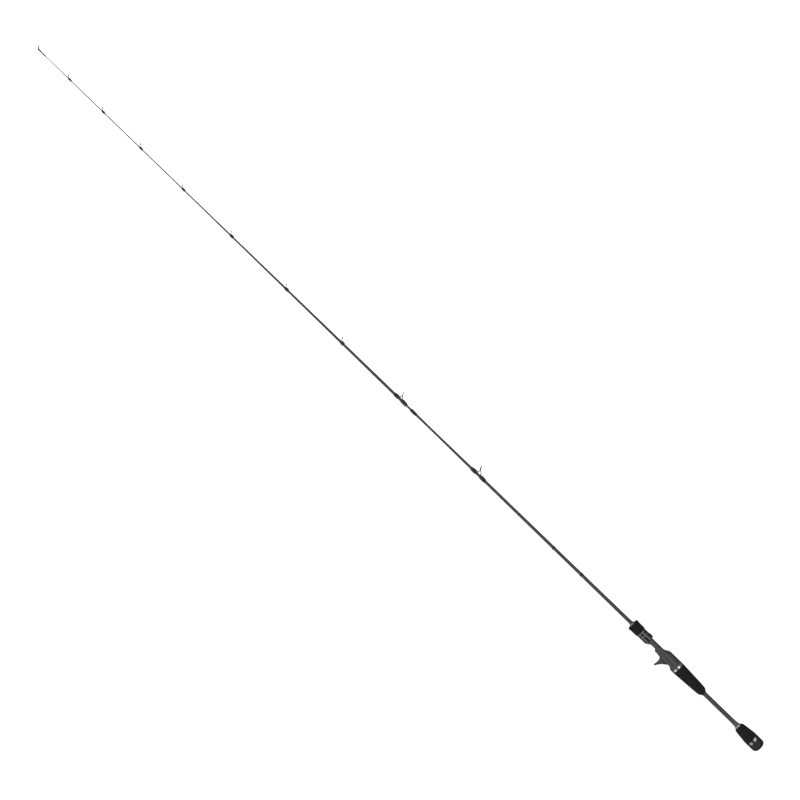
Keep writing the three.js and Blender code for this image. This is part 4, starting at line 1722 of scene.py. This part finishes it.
@dataclass
class LineGuide(SubAssembly):
    """A stamped frame with a hard ring pressed into it, bound to the blank."""

    name: str
    feet: Feet
    body: Body
    blank: Outline
    tilt: float = math.radians(26)
    frame_wall: float = 0.55 * MM
    insert_wall: float = 0.55 * MM
    insert_gap: float = 0.1 * MM
    length_share: float = 0.44
    foot_thickness: float = 0.8 * MM
    foot_half_width: float = 1.25 * MM
    foot_gap: float = 0.1 * MM
    rear_toe: float = 2.5 * MM
    rear_leg: float = 1.5 * MM
    front_leg: float = 1.0 * MM
    front_toe: float = 3.0 * MM
    ring_sides: int = 72
    leg: float = 0.85 * MM
    voxel: float = 0.15 * MM

    def __post_init__(self) -> None:
        """Takes the ring's place and size from the frame."""
        ring = Extent.of(f"{self.name}_ring")
        self.centre = ring.centre
        self.insert_radius = ring.side
        self.radius = ring.side + self.insert_gap + self.frame_wall
        self.half = self.length_share * self.radius / 2

    def _stood(self, mesh: bpy.types.Mesh) -> bpy.types.Mesh:
        """Stands something made round the axis on the ring's tilted plane."""
        mesh.transform(Matrix.Translation(self.centre) @ Matrix.Rotation(self.tilt, 4, "Y"))
        return mesh

    def _band(self) -> bpy.types.Mesh:
        """Turns the frame's band round the ring."""
        half, outer, inner = self.half, self.radius, self.radius - self.frame_wall
        loop = [(-half, inner), (-half, outer), (half, outer), (half, inner)]
        return self._stood(lathe([*loop, loop[0]], self.ring_sides))

    def _insert(self) -> bpy.types.Mesh:
        """Turns the hard ring, round on its inside."""
        middle = self.insert_radius - self.insert_wall / 2
        section = oval(
            Vector((0, middle)),
            Vector((self.half + 0.12 * MM, 0)),
            Vector((0, self.insert_wall / 2)),
            2.6,
            28,
        )
        loop = [tuple(point) for point in section]
        return self._stood(lathe([*loop, loop[0]], self.ring_sides))

    def _rim(self, degrees: float) -> Vector:
        """Gives a point on the middle of the band, at an angle from its lowest point."""
        turn = math.radians(degrees)
        reach = self.radius - self.frame_wall / 2
        down = reach * math.cos(turn)
        back, drop = down * math.sin(self.tilt), down * math.cos(self.tilt)
        return self.centre + Vector((-back, reach * math.sin(turn), -drop))

    def _foot(self, toe: float, root: float) -> bpy.types.Mesh:
        """Shapes a foot that is ground thin at its toe.

        Args:
            toe: Where the toe is along the rod.
            root: Where the leg rises.

        Returns:
            The mesh.
        """
        base = max(radius_at(self.blank, toe), radius_at(self.blank, root)) + self.foot_gap
        width = min(self.foot_half_width, 0.9 * radius_at(self.blank, root))
        sections = []
        for share in (0.0, 0.04, 0.12, 0.3, 0.55, 0.8, 1.0):
            thick = self.foot_thickness * (0.3 + 0.7 * share)
            half = width * (0.35 + 0.65 * min(1.0, share / 0.3) ** 0.6)
            centre = Vector((toe + (root - toe) * share, 0, base + thick / 2))
            sections.append(oval(centre, Vector((0, half, 0)), Vector((0, 0, thick / 2)), 3.0, 20))
        return lofted(sections)

    def _leg(self, root: tuple[float, float, float], degrees: float, sag: float) -> bpy.types.Mesh:
        """Bends one leg from a foot's root up to the band.

        Args:
            root: Where it starts.
            degrees: Where it meets the band.
            sag: How far its middle is pushed towards the butt.

        Returns:
            The mesh.
        """
        start, end = Vector(root), self._rim(degrees)
        middle = (start + end) / 2 + Vector((-sag, 0, 0.25 * sag))
        middle.y = start.y + (end.y - start.y) * 0.6
        stations = [
            (*start, self.leg * 1.25),
            (*middle, self.leg),
            (*end, self.leg * 0.9),
        ]
        return bar(stations, 12, 7)

    def _deck(self, along: float) -> float:
        """Gives how high the middle of a foot lies there."""
        return radius_at(self.blank, along) + self.foot_gap + self.foot_thickness / 2

    def _standing_parts(self) -> list[bpy.types.Mesh]:
        """Gives the feet and legs that carry the band."""
        if self.feet is Feet.DOUBLE:
            rear = Extent.of(f"{self.name}_rear_winding")
            front = Extent.of(f"{self.name}_front_winding")
            rear_root, front_root = rear.front + self.rear_leg, front.rear - self.front_leg
            deck = self._deck(rear_root)
            legs = [
                self._leg((rear_root - 0.8 * MM, side * 0.55 * MM, deck), side * 52, 0.9 * MM)
                for side in (-1, 1)
            ]
            post = self._leg((front_root + 0.6 * MM, 0, deck), 0, 0.0)
            rear_foot = self._foot(rear.rear + self.rear_toe, rear_root)
            front_foot = self._foot(front.front - self.front_toe, front_root)
            return [rear_foot, front_foot, post, *legs]
        if self.feet is Feet.SINGLE:
            winding = Extent.of(f"{self.name}_winding")
            toe, root = winding.rear + 1.0 * MM, winding.front + 0.4 * MM
            deck = self._deck(root)
            legs = [
                self._leg((root - 0.6 * MM, side * 0.42 * MM, deck), side * 42, 0.25 * MM)
                for side in (-1, 1)
            ]
            return [self._foot(toe, root), *legs]
        return self._tip_parts()

    def _tip_parts(self) -> list[bpy.types.Mesh]:
        """Gives the tube over the blank's end, its saddle and the two braces."""
        room = Extent.of("tip_top_frame")
        winding = Extent.of("tip_top_winding")
        rear, front = winding.front + 0.4 * MM, self.blank[-1][0] + 2 * MM
        tube = 1.33 * MM
        bore = radius_at(self.blank, rear) + 0.06 * MM
        loop = [
            (front - 1 * MM, 0.0),
            (front - 1 * MM, bore),
            (rear, bore),
            (rear, tube - 0.2 * MM),
            (rear + 0.8 * MM, tube),
            (front, tube),
            (front, 0.0),
        ]
        sheath = lathe(rounded(loop, 0.2 * MM, 4), 40)
        low = room.low + tube
        braces = []
        for side in (-1, 1):
            end = self._rim(side * 78)
            stations = [
                (rear + 4.6 * MM, side * 0.85 * MM, low + tube - 0.35 * MM, self.leg),
                (rear + 10 * MM, side * 1.5 * MM, low + 1.75 * MM, self.leg * 0.85),
                (*end, self.leg * 0.8),
            ]
            braces.append(bar(stations, 12, 8))
        base = self._rim(0)
        saddle = bar([(front - 2.2 * MM, 0, 0.5 * MM, 0.8 * MM), (*base, 0.6 * MM)], 14, 4)
        return [sheath, saddle, *braces]

    def _frame(self) -> bpy.types.Mesh:
        """Melts the band, feet and legs together, and reams the hole for the hard ring."""
        grown = melted([self._band(), *self._standing_parts()], self.voxel, 2)
        reamer = plug(-8 * MM, 8 * MM, self.radius - self.frame_wall)
        tools = [self._stood(reamer)]
        if self.feet is Feet.TIP:
            rear = Extent.of("tip_top_winding").front
            bore = radius_at(self.blank, rear) + 0.04 * MM
            tools.append(plug(rear, self.blank[-1][0] + 0.4 * MM, bore))
        return carved(grown, tools)

    def _windings(self) -> Iterator[Piece]:
        """Gives the windings over the feet."""
        lift = self.foot_thickness * 0.8
        if self.feet is Feet.DOUBLE:
            for end, ahead in (("rear", True), ("front", False)):
                node = f"{self.name}_{end}_winding"
                made = Winding(node, self.body, self.blank, foot_lift=lift, leg_ahead=ahead)
                yield made.piece()
        elif self.feet is Feet.SINGLE:
            node = f"{self.name}_winding"
            yield Winding(node, self.body, self.blank, foot_lift=lift).piece()

    def pieces(self) -> Iterator[Piece]:
        """Gives the frame, the hard ring and the windings."""
        yield stands_for(f"{self.name}_frame", self._frame(), GUIDE_METAL, self.body)
        yield stands_for(f"{self.name}_ring", self._insert(), CERAMIC, self.body)
        yield from self._windings()


def line_guides(blank: Blank) -> list[LineGuide]:
    """Lists the guides from the butt to the tip.

    Args:
        blank: The tubes that they stand on.

    Returns:
        Nine guides and the tip ring.
    """
    guides = [
        LineGuide("guide_1", Feet.DOUBLE, Body.BUTT, blank.butt),
        LineGuide("guide_2", Feet.DOUBLE, Body.TIP, blank.tip),
    ]
    for number in range(3, 10):
        guides.append(
            LineGuide(
                f"guide_{number}", Feet.SINGLE, Body.TIP, blank.tip, leg=0.5 * MM, voxel=0.12 * MM
            )
        )
    tilt = math.radians(35)
    guides.append(
        LineGuide("tip_top", Feet.TIP, Body.TIP, blank.tip, tilt, leg=0.45 * MM, voxel=0.12 * MM)
    )
    return guides


# ---- Studio ---------------------------------------------------------------------------------


@dataclass(frozen=True)
class Softbox:
    """A rectangular soft light, as long as it is along the rod, beside and above its middle."""

    name: str
    side: float
    up: float
    length: float
    width: float
    power: float


KEY = Softbox("key", side=-1.05, up=2.6, length=4.2, width=0.8, power=46)
FILL = Softbox("fill", side=2.7, up=1.2, length=4.2, width=1.0, power=40)


@dataclass
class Studio:
    """A pale floor, soft light from above and the camera over the rod."""

    lens: float = 100.0
    sensor: float = 36.0
    view_width: float = 1.5728
    lean: float = math.radians(224.05)
    aim_along: float = 0.4972
    aim_side: float = 0.0012
    floor_reach: float = 40.0
    floor_tone: Colour = (0.8, 0.8, 0.8, 1.0)
    floor_glow: float = 0.8
    sky: float = 0.2

    def _floor(self) -> None:
        """Lays a pale floor under the rod, with a faint mottle."""
        reach, height = self.floor_reach, CAD_BOX[0].z - 0.2 * MM
        shape = bmesh.new()
        corners = ((-reach, -reach), (reach, -reach), (reach, reach), (-reach, reach))
        shape.faces.new([shape.verts.new((x, y, height)) for x, y in corners])
        mesh = bpy.data.meshes.new("floor")
        shape.to_mesh(mesh)
        shape.free()
        brush = Brush("pale_floor")
        mottle = brush.noise(brush.place(), 160, 2)
        brush.apply(
            {
                "Base Color": brush.blend(mottle, self.floor_tone, (0.84, 0.84, 0.84, 1.0)),
                "Roughness": 0.9,
                "Specular IOR Level": 0.1,
                "Emission Color": (1.0, 1.0, 1.0, 1.0),
                "Emission Strength": self.floor_glow,
            }
        )
        mesh.materials.append(brush.material)
        floor = bpy.data.objects.new("floor", mesh)
        # The floor neither lights nor shows in the rod, so that the rod's edges stay dark.
        floor.visible_diffuse = False
        floor.visible_glossy = False
        bpy.context.scene.collection.objects.link(floor)

    def _hang(self, softbox: Softbox, middle: Vector) -> None:
        """Hangs one soft light so that it faces the middle of the rod."""
        light = bpy.data.lights.new(softbox.name, "AREA")
        light.shape = "RECTANGLE"
        light.size, light.size_y = softbox.length, softbox.width
        light.energy = softbox.power
        holder = bpy.data.objects.new(softbox.name, light)
        place = middle + Vector((0, softbox.side, softbox.up))
        holder.location = place
        holder.rotation_euler = (middle - place).to_track_quat("-Z", "Y").to_euler()
        holder.visible_camera = False
        bpy.context.scene.collection.objects.link(holder)

    def _sky(self) -> None:
        """Surrounds the studio with an even pale grey."""
        world = bpy.data.worlds.new("studio")
        world.use_nodes = True
        background = world.node_tree.nodes["Background"]
        background.inputs["Color"].default_value = (1.0, 1.0, 1.0, 1.0)
        background.inputs["Strength"].default_value = self.sky
        bpy.context.scene.world = world

    def _camera(self, middle: Vector) -> None:
        """Hangs the camera straight over the rod, turned so that the tip is top left."""
        data = bpy.data.cameras.new("camera")
        data.lens = self.lens
        data.sensor_width = self.sensor
        data.clip_end = 200.0
        camera = bpy.data.objects.new("camera", data)
        camera.location = middle + Vector((0, 0, self.view_width * self.lens / self.sensor))
        camera.rotation_euler = (0, 0, self.lean)
        bpy.context.scene.collection.objects.link(camera)
        bpy.context.scene.camera = camera

    def build(self) -> None:
        """Sets up the floor, the lights and the camera."""
        length = CAD_BOX[1].x
        middle = Vector((self.aim_along * length, self.aim_side, 0))
        self._floor()
        self._sky()
        for softbox in (KEY, FILL):
            self._hang(softbox, middle)
        self._camera(middle)
        bpy.context.scene.view_settings.view_transform = "Standard"


def main() -> None:
    """Builds the rod and its studio, logging each piece's faces as it goes."""
    logging.basicConfig(level=logging.INFO, format="%(message)s")
    blank = Blank()
    assemblies = [blank, ButtHandle(), RearHandle(), ReelSeat(), SlidingHood(), LockNut()]
    for assembly in [*assemblies, *line_guides(blank)]:
        LOG.info("building %s %s", type(assembly).__name__, getattr(assembly, "name", ""))
        assembly.build()
    Studio().build()


if __name__ == "__main__":
    main()
